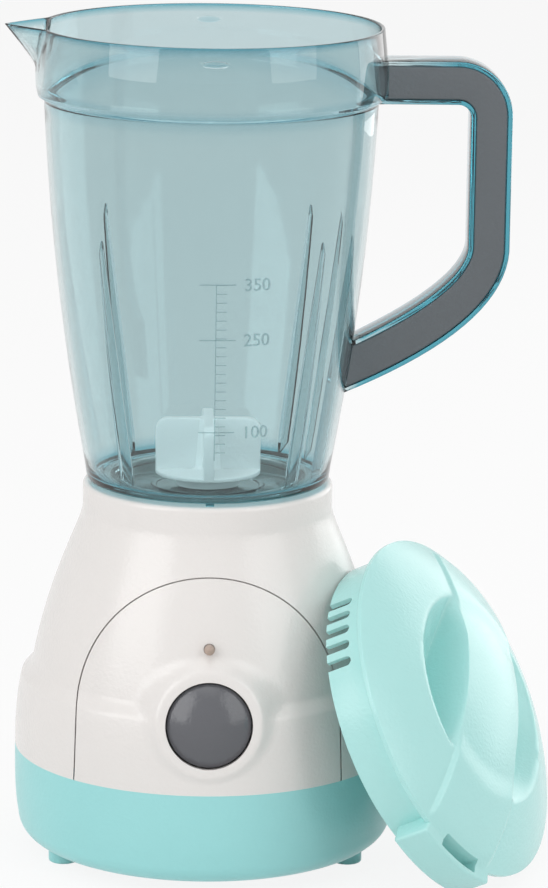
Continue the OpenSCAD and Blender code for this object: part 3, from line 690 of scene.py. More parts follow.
@dataclass
class Housing:
    """White housing with its collar and socket, and the arched opening for the front panel."""

    base_r: float = 60.3
    seam_z: float = 33.7
    band_h: float = 22.7
    band_draft: float = 2.1
    step_h: float = 3.6
    step_d: float = 3.3
    taper_h: float = 50.8
    collar_r: float = 39.1
    collar_h: float = 7.8
    wall: float = 2.2
    socket_r: float = 31.2
    socket_d: float = 17.1
    plate_t: float = 2.0
    panel_half: float = 40.6
    panel_spring: float = 53.0
    panel_rise: float = 45.0
    panel_gap: float = 0.35
    panel_lean: float = 0.6
    tube_t: float = 2.0
    shaft_hole_r: float = 5.0
    rim_t: float = 3.0
    rim_round: float = 1.4
    ledge_in: float = 2.4
    ledge_over: float = 3.0
    boss_x: float = 19.2
    boss_ends: Point = (88.0, 100.0)
    post_x: float = 44.55
    post_y: float = 20.4
    post_ends: Point = (30.5, 62.0)
    boss_r: float = 3.4
    pilot_r: float = 1.3
    facets: int = 192

    @property
    def collar_top(self) -> float:
        """Height of the collar's top."""
        return self.seam_z + self.band_h + self.step_h + self.taper_h + self.collar_h

    def skin(self) -> list[Point]:
        """Gives the outside from the seam up to the foot of the collar's rounding.

        Returns:
            Points (radius, z).
        """
        band_z = self.seam_z + self.band_h
        band_top = self.base_r - self.band_draft
        taper_z = band_z + self.step_h
        taper_r = band_top - self.step_d
        collar_z = taper_z + self.taper_h
        band = bezier([(self.base_r, self.seam_z), (self.base_r + 0.1, self.seam_z + 12.5),
                       (band_top, band_z)], 8)
        taper = bezier([(taper_r, taper_z), (taper_r - 0.36 * (taper_r - self.collar_r),
                        taper_z + 0.595 * self.taper_h), (self.collar_r, collar_z - 5.7),
                        (self.collar_r, collar_z)], 26)
        shoulder = rounded([(*band[-2], 0), (*band[-1], 1.2), (*taper[0], 1.6), (*taper[1], 0)], 5)
        return band[:-2] + shoulder + taper[2:]

    def arch(self, grown: float) -> bpy.types.Object:
        """Makes the solid that passes through the arched opening.

        Args:
            grown: How far it is grown all round.

        Returns:
            A closed tool solid.
        """
        rx, rz = self.panel_half + grown, self.panel_rise + grown
        top = [(rx * math.cos(a), self.panel_spring + rz * math.sin(a))
               for a in [math.pi * (1 - i / 64) for i in range(65)]]
        foot = rx + self.panel_lean
        outline = [(-foot, self.seam_z - 1), *top, (foot, self.seam_z - 1)]
        return prism("arch", [Vector((x, -25, z)) for x, z in outline],
                     Vector((0, -self.base_r, 0)))

    def shell(self) -> bpy.types.Object:
        """Turns the housing with its wall, collar, socket and socket floor.

        Returns:
            A closed solid.
        """
        skin = self.skin()
        top = self.collar_top
        plate = top - self.socket_d
        under = plate - self.plate_t
        rim = top - self.rim_t
        inner = [p for p in drawn_in(skin, self.wall) if p[1] < rim]
        tube_r = self.socket_r + self.tube_t
        edge = self.rim_round
        profile = skin + arc(self.collar_r - edge, top - edge, edge, 0, 90, 5)
        profile += rounded([(self.socket_r + 3, top, 0), (self.socket_r, top, 0.8),
                            (self.socket_r, plate, 1.0), (self.shaft_hole_r, plate, 0.4),
                            (self.shaft_hole_r, under, 0.4), (tube_r, under, 0.8),
                            (tube_r, rim, 1.0), (inner[-1][0], rim, 0)])
        profile += inner[::-1] + [skin[0]]
        return lathe("housing", profile, self.facets)

    def build(self) -> bpy.types.Object:
        """Builds the housing with its opening, ledge, screw posts and motor bosses.

        Returns:
            The finished piece.
        """
        piece = work(self.shell(), self.arch(self.panel_gap / 2), Cut.AWAY)
        skin = self.skin()
        ledge = lathe("ledge", drawn_in(skin, self.wall - 0.2)
                      + drawn_in(skin, self.wall + 2)[::-1]
                      + [(skin[0][0] - self.wall + 0.2, skin[0][1])], self.facets)
        work(ledge, self.arch(self.ledge_over), Cut.SHARED)
        work(ledge, self.arch(-self.ledge_in), Cut.AWAY)
        work(ledge, block("foot", Vector((-70, -70, self.seam_z - 1)),
                          Vector((70, 70, self.seam_z + 3))), Cut.AWAY)
        work(piece, ledge, Cut.TOGETHER)
        for sx in SIDES:
            boss = sleeve("boss", self.pilot_r, self.boss_r, *self.boss_ends, 0.4)
            work(piece, moved(boss, at(sx * self.boss_x, 0)), Cut.TOGETHER)
            for sy in SIDES:
                post = sleeve("post", self.pilot_r, self.boss_r, *self.post_ends)
                work(piece, moved(post, at(sx * self.post_x, sy * self.post_y)), Cut.TOGETHER)
        return signed_off(piece, "housing_shell_moulding", Part.BASE, Look.WHITE,
                          ["housing_shell"], 30)


@dataclass
class ButtonPlace:
    """Where the button sits: a plane that leans back in the front of the base."""

    out: float = 58.4
    height: float = 55.3
    tilt: float = 8.5

    def matrix(self) -> Matrix:
        """Gives the place whose +Z points out of the button's face and whose +Y points up."""
        return at(0, -self.out, self.height) @ turned(90 - self.tilt, "X")

    def plane(self, z: float) -> float:
        """Gives how far out the plane of the button's face is at height z."""
        return self.out - math.tan(math.radians(self.tilt)) * (z - self.height)


@dataclass
class FrontPanel:
    """Arched white panel that swells into a ring round the button."""

    housing: Housing = field(default_factory=Housing)
    seat: ButtonPlace = field(default_factory=ButtonPlace)
    hill_r: float = 16.3
    hill_slope: float = 1.25
    hill_edge: float = 0.7
    fillet: float = 2.2
    wall: float = 2.1
    button_r: float = 13.35
    guide_r: float = 14.95
    guide_ends: Point = (-8.6, -1.4)
    reach: Point = (-12.0, 9.0)
    lamp_r: float = 1.75
    lamp_up: float = 23.0
    columns: int = 190
    rows: int = 150
    upright: float = 0.30

    def outline(self, across: float, up: float) -> Point:
        """Finds a point of the panel in the view from the front.

        Args:
            across: From -1 at the left edge to 1 at the right.
            up: From 0 at the seam to 1 at the top of the arch.

        Returns:
            Its x and z.
        """
        house = self.housing
        half = house.panel_half - house.panel_gap / 2
        rise = house.panel_rise - house.panel_gap / 2
        if up < self.upright:
            t = up / self.upright
            return (across * (half + house.panel_lean * (1 - t)),
                    house.seam_z + (house.panel_spring - house.seam_z) * t)
        a = math.radians(90 * (up - self.upright) / (1 - self.upright))
        return across * half * math.cos(a), house.panel_spring + rise * math.sin(a)

    def out(self, x: float, z: float, skin: Sequence[Point]) -> float:
        """Finds how far out the panel's surface is.

        Args:
            x, z: Place in the view from the front.
            skin: Outline of the housing.

        Returns:
            The distance in front of the axis.
        """
        r = height_on(skin, z)
        body = math.sqrt(max(r * r - x * x, 0))
        lean = math.cos(math.radians(self.seat.tilt))
        away = math.hypot(x, (z - self.seat.height) / lean) - self.hill_r
        fall = (math.hypot(away, self.hill_edge) + away) / 2
        return blended(body, self.seat.plane(z) - self.hill_slope * fall, self.fillet)

    def build(self) -> bpy.types.Object:
        """Builds the panel, its ring, its wall and what stands behind it.

        Returns:
            The finished piece.
        """
        skin = self.housing.skin()

        def spread(across: float, up: float) -> Vector:
            """Places a point of the grid on the panel."""
            x, z = self.outline(across, (up + 1) / 2)
            return Vector((x, -self.out(x, z, skin), z))

        piece = grid(self.columns, self.rows, spread)
        bpy.ops.object.mode_set(mode="OBJECT")
        if piece.data.polygons[0].normal.y > 0:
            piece.data.flip_normals()
        thickened(piece, self.wall)
        place = self.seat.matrix()
        work(piece, moved(rod("hole", self.button_r, *self.reach, 128), place), Cut.AWAY)
        lamp = rod("lamp_hole", self.lamp_r, *self.reach, 48)
        work(piece, moved(lamp, place @ at(0, self.lamp_up)), Cut.AWAY)
        guide = sleeve("guide", self.button_r, self.guide_r, *self.guide_ends, 0.4, 96)
        work(piece, moved(guide, place), Cut.TOGETHER)
        return signed_off(piece, "front_panel_moulding", Part.BASE, Look.WHITE,
                          ["front_panel"], 34)


@dataclass
class StartButton:
    """Domed grey button that stands in the ring of the front panel, and the lamp above it."""

    seat: ButtonPlace = field(default_factory=ButtonPlace)
    radius: float = 12.9
    dome_r: float = 21.0
    crown: float = 3.1
    skirt: float = 8.7
    flange_r: float = 14.2
    stem: float = 11.3
    stem_r: float = 2.0
    flange_t: float = 1.2
    wall: float = 1.6
    lamp_r: float = 1.6
    lamp_up: float = 23.0
    lamp_dome: float = -3.4
    lamp_foot: Point = (-8.8, -9.8)
    leg_x: float = 1.27
    leg_half: float = 0.25
    board_depth: float = 20.0

    def build(self) -> bpy.types.Object:
        """Builds the button.

        Returns:
            The finished piece.
        """
        low = self.crown - self.dome_r
        base = -self.skirt - self.flange_t
        inner = self.radius - self.wall
        edge = math.degrees(math.acos(self.radius / self.dome_r))
        rim = low + self.dome_r * math.sin(math.radians(edge))
        face = arc(0, low, self.dome_r, 90, edge + 3, 16)
        side = rounded([(*face[-1], 0), (self.radius, rim, 0.9), (self.radius, -self.skirt, 0),
                        (self.flange_r, -self.skirt, 0.2), (self.flange_r, base, 0.2),
                        (inner, base, 0.2), (inner, -1.0, 0.8), (self.stem_r, -1.0, 0.6),
                        (self.stem_r, -self.stem, 0.3), (0, -self.stem, 0)])
        piece = lathe("button", face + side[1:], 128)
        moved(piece, self.seat.matrix())
        return signed_off(piece, "start_button_cap", Part.BUTTON, Look.BUTTON, ["start_button"])

    def lamp(self) -> bpy.types.Object:
        """Builds the indicator lamp with its collar and legs.

        Returns:
            The finished piece.
        """
        r = self.lamp_r
        top, base = self.lamp_foot
        profile = arc(0, self.lamp_dome + r - 0.6, r, 90, 0, 8) + rounded([
            (r, self.lamp_dome, 0), (r, top, 0), (r + 0.4, top, 0.1), (r + 0.4, base, 0.1),
            (0, base, 0)])
        piece = lathe("lamp", profile, 48)
        half = self.leg_half
        for sx in SIDES:
            x = sx * self.leg_x
            leg = block("leg", Vector((x - half, -half, -self.board_depth)),
                        Vector((x + half, half, base + 0.3)), 0.05)
            work(piece, leg, Cut.TOGETHER)
        moved(piece, self.seat.matrix() @ at(0, self.lamp_up))
        return signed_off(piece, "indicator_lamp_lens", Part.BASE, Look.LAMP, ["indicator_lamp"])


@dataclass
class Tray:
    """Turquoise tray with its feet, screw posts and battery bay, and the door under it."""

    base_r: float = 60.3
    seam_z: float = 33.7
    foot_h: float = 4.0
    floor: float = 2.4
    wall: float = 2.2
    corner: float = 7.3
    foot_r: float = 4.7
    foot_x: float = 44.55
    foot_y: float = 20.4
    bay_x: float = 29.1
    bay_y: float = 15.1
    bay_top: float = 21.0
    door_x: float = 31.5
    door_y: float = 16.7
    door_t: float = 1.8
    ear_y: float = 20.9
    ear_r: float = 5.0
    play: float = 0.1
    lip_h: float = 2.6
    lip_t: float = 1.4
    post_r: float = 4.9
    post_top: float = 30.3
    screw_recess: tuple[float, float, float] = (3.0, 12.0, 1.6)
    pilot_r: float = 1.3
    pilot_h: float = 8.0
    bay_t: float = 1.5
    rib_x: float = 20.0
    rib_half: float = 8.0
    rib_step: float = 2.2

    def bowl(self) -> bpy.types.Object:
        """Turns the tray's floor and wall, with the lip that the housing fits over.

        Returns:
            A closed solid.
        """
        foot_r = self.base_r - 1.1
        low = self.foot_h
        centre = foot_r - self.corner
        skin = [(self.base_r, self.seam_z)] + bezier([
            (self.base_r, self.seam_z - 5), (self.base_r, low + 12),
            (foot_r, low + self.corner)], 8) + arc(centre, low + self.corner, self.corner,
                                                  -8, -90, 9)
        lip_r = self.base_r - self.wall - 0.5
        lip_z = self.seam_z + self.lip_h
        lip_in = lip_r - self.lip_t
        inside = rounded([(lip_r, self.seam_z, 0.2), (lip_r, lip_z, 0.4),
                          (lip_in, lip_z, 0.4), (lip_in, self.seam_z - 4, 0.5),
                          (self.base_r - self.wall, self.seam_z - 6, 0.5)], 3)
        inner_r = self.corner - self.wall
        cup = arc(centre, low + self.floor + inner_r, inner_r, 0, -90, 6)
        return lathe("tray", skin + [(0, low), (0, low + self.floor)] + cup[::-1] + inside[::-1]
                     + [skin[0]], 192)

    def door_outline(self, grown: float, z: float) -> list[Vector]:
        """Gives the outline of the door, a rectangle with a rounded ear at each side.

        Args:
            grown: How far it is grown all round.
            z: Its height.

        Returns:
            The corners in order.
        """
        x, y, r = self.door_x + grown, self.door_y + grown, self.ear_r + grown
        top = arc(0, self.ear_y, r, 0, 180, 16)
        line = [(x, -y), (x, y), (r, y), *top, (-r, y), (-x, y), (-x, -y), (-r, -y)]
        line += [(-px, -py) for px, py in top] + [(r, -y)]
        return [Vector((px, py, z)) for px, py in line]

    def build(self) -> bpy.types.Object:
        """Builds the tray.

        Returns:
            The finished piece.
        """
        piece = self.bowl()
        up = Vector((0, 0, 1))
        inner_z = self.foot_h + 0.5
        for sx, sy in CORNERS:
            foot = lathe("foot", rounded([
                (0, 0, 0), (self.foot_r, 0, 0.8), (self.foot_r, self.foot_h + 1, 0),
                (self.post_r, 6, 0.3), (self.post_r, self.post_top, 0.4),
                (0, self.post_top, 0)]), 48)
            work(piece, moved(foot, at(sx * self.foot_x, sy * self.foot_y)), Cut.TOGETHER)
        box = block("bay", Vector((-self.bay_x - self.bay_t, -self.bay_y - self.bay_t, inner_z)),
                    Vector((self.bay_x + self.bay_t, self.bay_y + self.bay_t,
                            self.bay_top + self.bay_t)), 0.5)
        work(piece, box, Cut.TOGETHER)
        work(piece, prism("pad", self.door_outline(2, inner_z), up * 3.5), Cut.TOGETHER)
        recess = prism("recess", self.door_outline(self.play, self.foot_h - 1), up * 2.9)
        work(piece, recess, Cut.AWAY)
        bay = block("space", Vector((-self.bay_x, -self.bay_y, 0)),
                    Vector((self.bay_x, self.bay_y, self.bay_top)))
        work(piece, bay, Cut.AWAY)
        wide, deep, narrow = self.screw_recess
        for sx, sy in CORNERS:
            hole = lathe("hole", [(0, -1), (wide, -1), (wide, deep), (narrow, deep),
                                  (narrow, 40), (0, 40)], 32)
            work(piece, moved(hole, at(sx * self.foot_x, sy * self.foot_y)), Cut.AWAY)
        for sy in SIDES:
            hole = rod("hole", self.pilot_r, 0, self.pilot_h, 24)
            work(piece, moved(hole, at(0, sy * self.ear_y)), Cut.AWAY)
        return signed_off(piece, "base_tray_moulding", Part.BASE, Look.TURQUOISE,
                          ["base_tray"], 30)

    def door(self) -> bpy.types.Object:
        """Builds the battery door with its countersunk screw holes and finger ribs.

        Returns:
            The finished piece.
        """
        piece = prism("door", self.door_outline(-self.play, self.foot_h),
                      Vector((0, 0, self.door_t)))
        bevelled(piece, 0.35)
        for sy in SIDES:
            hole = lathe("hole", [(0, 3), (2.8, 3), (2.8, 5), (1.5, 5), (1.5, 7), (0, 7)], 32)
            work(piece, moved(hole, at(0, sy * self.ear_y)), Cut.AWAY)
        for i in range(4):
            x = self.rib_x + self.rib_step * i
            slot = block("rib", Vector((x, -self.rib_half, 3.5)),
                         Vector((x + 1.0, self.rib_half, 4.35)), 0.15)
            work(piece, slot, Cut.AWAY)
        return signed_off(piece, "battery_door_moulding", Part.DOOR, Look.TURQUOISE,
                          ["battery_door"], 30)


# ---------------------------------------------------------------- jug


@dataclass
class Jug:
    """Clear jug with its spout, ribs, scale and handle frame, and the two grey grips."""

    seat_z: float = 119.6
    rim_z: float = 261.5
    foot_r: float = 37.9
    shoulder_r: float = 51.5
    shoulder_z: float = 238.9
    wall: float = 1.6
    mouth_r: float = 51.8
    mouth_low: float = 242.4
    band_r: float = 54.2
    dish_r: float = 30.5
    dish_z: float = 113.5
    dish_floor: float = 116.2
    dish_steps: tuple[tuple[float, float, float], ...] = (
        (33.4, 1.5, 0.4), (32.8, 1.1, 0.3), (29.4, 0.8, 0.6), (28.6, -0.8, 0.3),
        (27.9, -1.0, 0.3))
    floor_r: float = 27.3
    ring: Point = (16.0, 18.0)
    ring_h: float = 0.35
    boss_r: float = 5.4
    boss_top: float = 119.2
    bush_r: float = 3.2
    spout_reach: float = 12.5
    spout_half: float = 14.5
    spout_d: float = 12.8
    handle_reach: float = 92.4
    handle_t: float = 14.0
    handle_rim: float = 1.4
    handle_top: float = 9.7
    handle_foot: float = 114.0
    handle_wide: float = 12.8
    handle_corner: float = 17.0
    web_half: float = 1.2
    grip_play: float = 0.1
    rib_top: float = 199.0
    deep_rib: Point = (3.4, 0.65)
    side_rib: Point = (1.8, 0.4)
    lug_in: Point = (3.6, 1.4)
    lug_half: float = 1.3
    bump: tuple[float, float, float] = (4.2, 0.55, 1.1)
    bump_down: float = 5.0
    facets: int = 256
    marks: tuple[tuple[str, float], ...] = (("350", 189.7), ("250", 172.4), ("100", 143.0))
    mark_ends: Point = (-4.0, 7.0)
    tick_step: float = 2.8
    tick_low: float = 134.0
    text_x: float = 9.4
    text_size: float = 5.6
    relief: float = 0.11

    def skin(self) -> list[Point]:
        """Gives the outside of the wall from its foot to the shoulder."""
        waist = (0.19 * self.foot_r + 0.81 * self.shoulder_r, (self.seat_z + self.shoulder_z) / 2)
        return bezier([(self.foot_r, self.seat_z + 1.6), waist,
                       (self.shoulder_r, self.shoulder_z)], 30)

    def profile(self) -> list[Point]:
        """Gives the closed profile of the jug.

        Returns:
            Points (radius, z) that end where they begin.
        """
        skin = self.skin()
        low = self.dish_z - 2.6
        foot = rounded([(self.bush_r, low, 0), (self.boss_r, low, 0.4),
                        (self.boss_r, self.dish_z, 0.5), (self.dish_r, self.dish_z, 1.2),
                        (self.dish_r, self.seat_z, 0.5), (self.foot_r, self.seat_z, 1.6),
                        (*skin[1], 0)])
        top = self.rim_z
        band = bezier([(self.band_r - 0.3, self.shoulder_z + 2.6), (self.band_r + 0.4,
                       self.shoulder_z + 10), (self.band_r - 1.1, top - 1.0)], 12)
        rim = rounded([(*band[-1], 0), (self.band_r - 1.2, top, 0.9), (self.mouth_r, top, 0.7),
                       (self.mouth_r, self.mouth_low, 0)], 5)
        throat = [(self.mouth_r, top - 1 - (top - 1 - self.mouth_low) * i / 12)
                  for i in range(1, 13)]
        step = rounded([(*skin[-2], 0), (*skin[-1], 0.5), (self.band_r - 0.7,
                        self.shoulder_z + 1.2, 0.8), (*band[1], 0)], 4)
        raised = self.dish_floor + self.ring_h
        near, far = self.ring
        inner = drawn_in(skin, self.wall)
        shoulder = rounded([(*throat[-1], 0), (self.mouth_r, self.mouth_low - 1.2, 0.8),
                            (inner[-1][0], inner[-1][1] - 0.6, 0.8), (*inner[-2], 0)], 4)
        dish = rounded([(*inner[1], 0), (inner[0][0], self.seat_z + 2.2, 1.2),
                        *((r, self.seat_z + z, edge) for r, z, edge in self.dish_steps),
                        (self.floor_r, self.dish_floor, 0.6),
                        (far, self.dish_floor, 0.2), (far - 0.4, raised, 0.2),
                        (near + 0.4, raised, 0.2), (near, self.dish_floor, 0.2),
                        (self.boss_r, self.dish_floor, 0.6), (self.boss_r, self.boss_top, 0.4),
                        (self.bush_r, self.boss_top, 0)], 3)
        body = foot[:-1] + skin[1:-2] + step[:-1] + band[1:-1] + rim[:-1] + throat[:-1]
        return body + shoulder[:-1] + inner[2:-2][::-1] + dish + [foot[0]]

    def pull_spout(self, piece: bpy.types.Object) -> None:
        """Draws the spout out of the band on the -X side, to a point at the rim.

        Args:
            piece: The turned jug.
        """
        for vertex in piece.data.vertices:
            c = vertex.co
            if c.z <= self.rim_z - self.spout_d or c.x >= -self.mouth_r + 4:
                continue
            rise = (c.z - self.rim_z + self.spout_d) / self.spout_d
            half = self.spout_half * (0.45 + 0.55 * rise)
            near = max(0.0, 1 - abs(c.y) / half)
            c.x -= (self.spout_reach - 1.9) * near * rise ** 1.15

    def ribs(self) -> list[bpy.types.Object]:
        """Makes the ribs inside the wall: four deep ones with pointed tops and two by the handle.

        Returns:
            Closed solids.
        """
        made = []
        inner = [p for p in drawn_in(self.skin(), self.wall - 0.5) if p[1] < self.rib_top]
        kinds = [(turn, *self.deep_rib) for turn in (-135, -45, 45, 135)]
        kinds += [(turn, *self.side_rib) for turn in (-25, 25)]
        for turn, reach, half in kinds:
            foot_x = self.foot_r - self.wall - reach
            line = inner[1:] + [(inner[-1][0] - 0.9, self.rib_top + 1.5),
                                (foot_x + 0.4, self.seat_z + 8), (foot_x, self.seat_z + 1.9)]
            rib = prism("rib", [Vector((x, -half, z)) for x, z in line], Vector((0, 2 * half, 0)))
            bevelled(rib, 0.3, segments=2)
            made.append(moved(rib, turned(turn)))
        return made

    def handle_line(self, inset: float) -> list[Point]:
        """Gives the outline of the handle seen from the front.

        Args:
            inset: How far it is drawn in all round.

        Returns:
            Points (x, z) in order.
        """
        d = inset
        top = self.rim_z - self.handle_top
        low = self.rim_z - self.handle_foot
        root = self.shoulder_r - 1.2
        inner = self.handle_reach - self.handle_wide
        corner = self.handle_corner
        skin = self.skin()
        lean_low = height_on(skin, low) - 1.5
        lean_high = height_on(skin, low + 17) - 1.2
        line = [(root, top - d)]
        line += arc(self.handle_reach - corner, top - corner, corner - d, 90, 0, 16)
        line += bezier([(self.handle_reach - d, top - 59), (self.handle_reach - 1.4 - d,
                        low + 21 + d), (lean_low, low + d)], 18)
        line += bezier([(lean_high, low + 16.6 - d), (inner - 1.1 + d, top - 70.5 - d),
                        (inner + d, top - 58)], 18)
        line += arc(inner - 4, top - 17.4, 4 + d, 0, 90, 8)
        return line + [(root, top - 13.4 + d)]

    def slab(self, inset: float, low: float, high: float) -> bpy.types.Object:
        """Makes a slab in the shape of the handle.

        Args:
            inset: How far its outline is drawn in.
            low, high: Its faces along Y.

        Returns:
            A closed solid.
        """
        outline = [Vector((x, low, z)) for x, z in self.handle_line(inset)]
        return prism("slab", outline, Vector((0, high - low, 0)))

    def inside(self, inset: float) -> bpy.types.Object:
        """Makes the solid that fills the jug's inside.

        Args:
            inset: Distance of its side from the jug's outside.

        Returns:
            A closed tool solid.
        """
        skin = drawn_in(self.skin(), inset)
        band = self.band_r + 0.1 - inset
        return lathe("inside", [(0, self.seat_z + 1.7), *skin, (band, self.shoulder_z + 1.5),
                                (band, self.rim_z + 9), (0, self.rim_z + 9)], 128)

    def frame(self) -> bpy.types.Object:
        """Makes the clear frame of the handle, an I in section.

        Returns:
            A closed solid.
        """
        half = self.handle_t / 2
        piece = self.slab(0, -half, half)
        bevelled(piece, 0.7, 60)
        for low, high in ((-half - 1, -self.web_half), (self.web_half, half + 1)):
            work(piece, self.slab(self.handle_rim, low, high), Cut.AWAY)
        return work(piece, self.inside(0.8), Cut.AWAY)

    def bumps(self) -> list[bpy.types.Object]:
        """Makes the two small bumps under the rim that hold the lid, front and back.

        Returns:
            Closed solids.
        """
        made = []
        z = self.rim_z - self.bump_down
        for side in SIDES:
            bpy.ops.object.select_all(action="DESELECT")
            bpy.ops.mesh.primitive_uv_sphere_add(segments=32, ring_count=16, radius=1,
                                                 location=(0, side * self.mouth_r, z))
            lump = bpy.context.object
            lump.scale = self.bump
            made.append(settle(lump))
        return made

    def tint(self, c: Vector) -> float:
        """Gives how deep the tint is at a place: deepest in rims, edges, ribs and handle."""
        r = math.hypot(c.x, c.y)
        rim = eased((c.z - self.rim_z + 1.6) / 1.4)
        foot = eased((self.seat_z + 3.0 - c.z) / 2.0) * eased((r - 33) / 2.5)
        step = max(0.0, 1 - abs(c.z - self.shoulder_z - 0.6) / 1.8)
        skin = height_on(self.skin(), c.z) if c.z < self.shoulder_z else self.band_r
        handle = eased((r - skin - 0.6) / 1.2) if c.x > 0 else 0.0
        rib = 0.55 * eased((skin - self.wall - 0.5 - r) / 0.8) if c.z > self.seat_z + 3 else 0.0
        return min(1.0, max(rim, foot, 0.8 * step, handle, rib))

    def build(self) -> bpy.types.Object:
        """Builds the jug with its ribs, lugs, bumps and handle frame.

        Returns:
            The finished piece.
        """
        piece = lathe("jug", self.profile(), self.facets)
        self.pull_spout(piece)
        for rib in self.ribs():
            work(piece, rib, Cut.TOGETHER)
        near, far = self.lug_in
        for i in range(4):
            lug = block("lug", Vector((self.foot_r - near, -self.lug_half, self.seat_z - 1)),
                        Vector((self.foot_r - far, self.lug_half, self.seat_z + 0.3)), 0.2)
            work(piece, moved(lug, turned(90 * i)), Cut.TOGETHER)
        for bump in self.bumps():
            work(piece, bump, Cut.TOGETHER)
        work(piece, self.frame(), Cut.TOGETHER)
        painted(piece, "tint", self.tint)
        return signed_off(piece, "jug_moulding", Part.JUG, Look.CLEAR, ["jug", "jug_handle"], 38)

    def wrapped(self, piece: bpy.types.Object) -> bpy.types.Object:
        """Bends a flat mark, drawn in XZ with its relief along -Y, round the front of the wall.

        Args:
            piece: The flat mark; its y is the height of the relief.

        Returns:
            The same piece.
        """
        skin = self.skin()
        for vertex in piece.data.vertices:
            c = vertex.co
            r = height_on(skin, c.z) - 0.05 - c.y
            a = c.x / height_on(skin, c.z)
            vertex.co = (r * math.sin(a), -r * math.cos(a), c.z)
        return piece

    def bar(self, x0: float, x1: float, z0: float, z1: float) -> bpy.types.Object:
        """Makes one raised line of the scale.

        Args:
            x0, x1: Its ends across.
            z0, z1: Its ends up.

        Returns:
            A closed solid on the wall.
        """
        piece = block("bar", Vector((x0, -2 * self.relief, z0)), Vector((x1, 0, z1)))
        bpy.ops.object.mode_set(mode="EDIT")
        bpy.ops.mesh.select_all(action="SELECT")
        bpy.ops.mesh.subdivide(number_cuts=7)
        bpy.ops.object.mode_set(mode="OBJECT")
        return self.wrapped(piece)

    def number(self, word: str, z: float) -> bpy.types.Object:
        """Makes one plain number of the scale.

        Args:
            word: Its figures.
            z: Height of its middle.

        Returns:
            A closed solid on the wall.
        """
        bpy.ops.object.select_all(action="DESELECT")
        bpy.ops.object.text_add(location=(self.text_x, 0, z - 2.0),
                                rotation=(math.radians(90), 0, 0))
        text = bpy.context.object
        text.data.body = word
        text.data.size = self.text_size
        text.data.extrude = self.relief
        text.data.resolution_u = 4
        bpy.ops.object.convert(target="MESH")
        text = settle(bpy.context.object)
        for vertex in text.data.vertices:
            vertex.co.y -= self.relief
        return self.wrapped(text)

    def scale(self) -> bpy.types.Object:
        """Builds the raised scale on the front of the wall.

        Returns:
            The finished piece.
        """
        top = self.marks[0][1]
        made = [self.bar(0.9, 1.2, self.tick_low, top + 0.2)]
        for i in range(int((top - self.tick_low) / self.tick_step) + 1):
            z = top - i * self.tick_step
            made.append(self.bar(1.2, 4.3, z - 0.12, z + 0.12))
        for word, z in self.marks:
            made += [self.bar(*self.mark_ends, z - 0.16, z + 0.16), self.number(word, z)]
        take(made[0])
        for item in made[1:]:
            item.select_set(True)
        bpy.ops.object.join()
        piece = painted(made[0], "tint", lambda c: 0.0)
        return signed_off(piece, "jug_scale", Part.JUG, Look.CLEAR, [], 30)

    def grips(self) -> list[bpy.types.Object]:
        """Builds the two grey grips that fill the sides of the handle frame.

        Returns:
            The finished pieces, front and back.
        """
        made = []
        near = self.web_half + self.grip_play / 2
        far = self.handle_t / 2 - self.grip_play
        for name, low, high in (("handle_grip_front", -far, -near),
                                ("handle_grip_back", near, far)):
            piece = self.slab(self.handle_rim + self.grip_play, low, high)
            bevelled(piece, 0.8, 60, 4)
            work(piece, self.inside(-0.2), Cut.AWAY)
            made.append(signed_off(piece, name + "_inlay", Part.JUG, Look.GRIP, [name], 34))
        return made


@dataclass
class Beater:
    """Milky beater: a disc with crossed vanes on a hub."""

    radius: float = 16.4
    low: float = 116.6
    disc_z: float = 121.0
    disc_t: float = 1.6
    vane_h: float = 16.1
    vane_t: float = 3.4
    vane_round: float = 4.0
    hub_r: float = 9.9
    hub_wall: float = 2.2
    hub_d: float = 4.0
    stub_r: Point = (4.4, 3.2)
    shaft_r: float = 1.5
    bore_d: float = 7.0

    def build(self) -> bpy.types.Object:
        """Builds the beater.

        Returns:
            The finished piece.
        """
        top = self.disc_z + self.disc_t
        rise = top + self.vane_h
        hollow = self.hub_r - self.hub_wall
        wide, narrow = self.stub_r
        piece = lathe("beater", rounded([
            (0, self.low + self.hub_d, 0), (hollow, self.low + self.hub_d, 0.5),
            (hollow, self.low, 0.3), (self.hub_r, self.low, 0.4),
            (self.hub_r, self.disc_z, 0.6), (self.radius, self.disc_z, 0.5),
            (self.radius, top, 0.6), (wide, top, 1.2), (narrow, rise, 0.6), (0, rise, 0)]), 96)
        r = self.radius
        turn_r = self.vane_round
        line = [(-r, self.disc_z + 0.4),
                *arc(-r + turn_r, rise - turn_r, turn_r, 180, 90, 8),
                *arc(r - turn_r, rise - turn_r, turn_r, 90, 0, 8), (r, self.disc_z + 0.4)]
        for turn in (0, 90):
            vane = prism("vane", [Vector((x, -self.vane_t / 2, z)) for x, z in line],
                         Vector((0, self.vane_t, 0)))
            bevelled(vane, 0.5, 60)
            work(piece, moved(vane, turned(turn)), Cut.TOGETHER)
        bore = rod("bore", self.shaft_r, self.low - self.bore_d, top + self.bore_d)
        work(piece, bore, Cut.AWAY)
        return signed_off(piece, "beater_moulding", Part.BEATER, Look.MILKY, ["beater"], 32)


# ---------------------------------------------------------------- lid


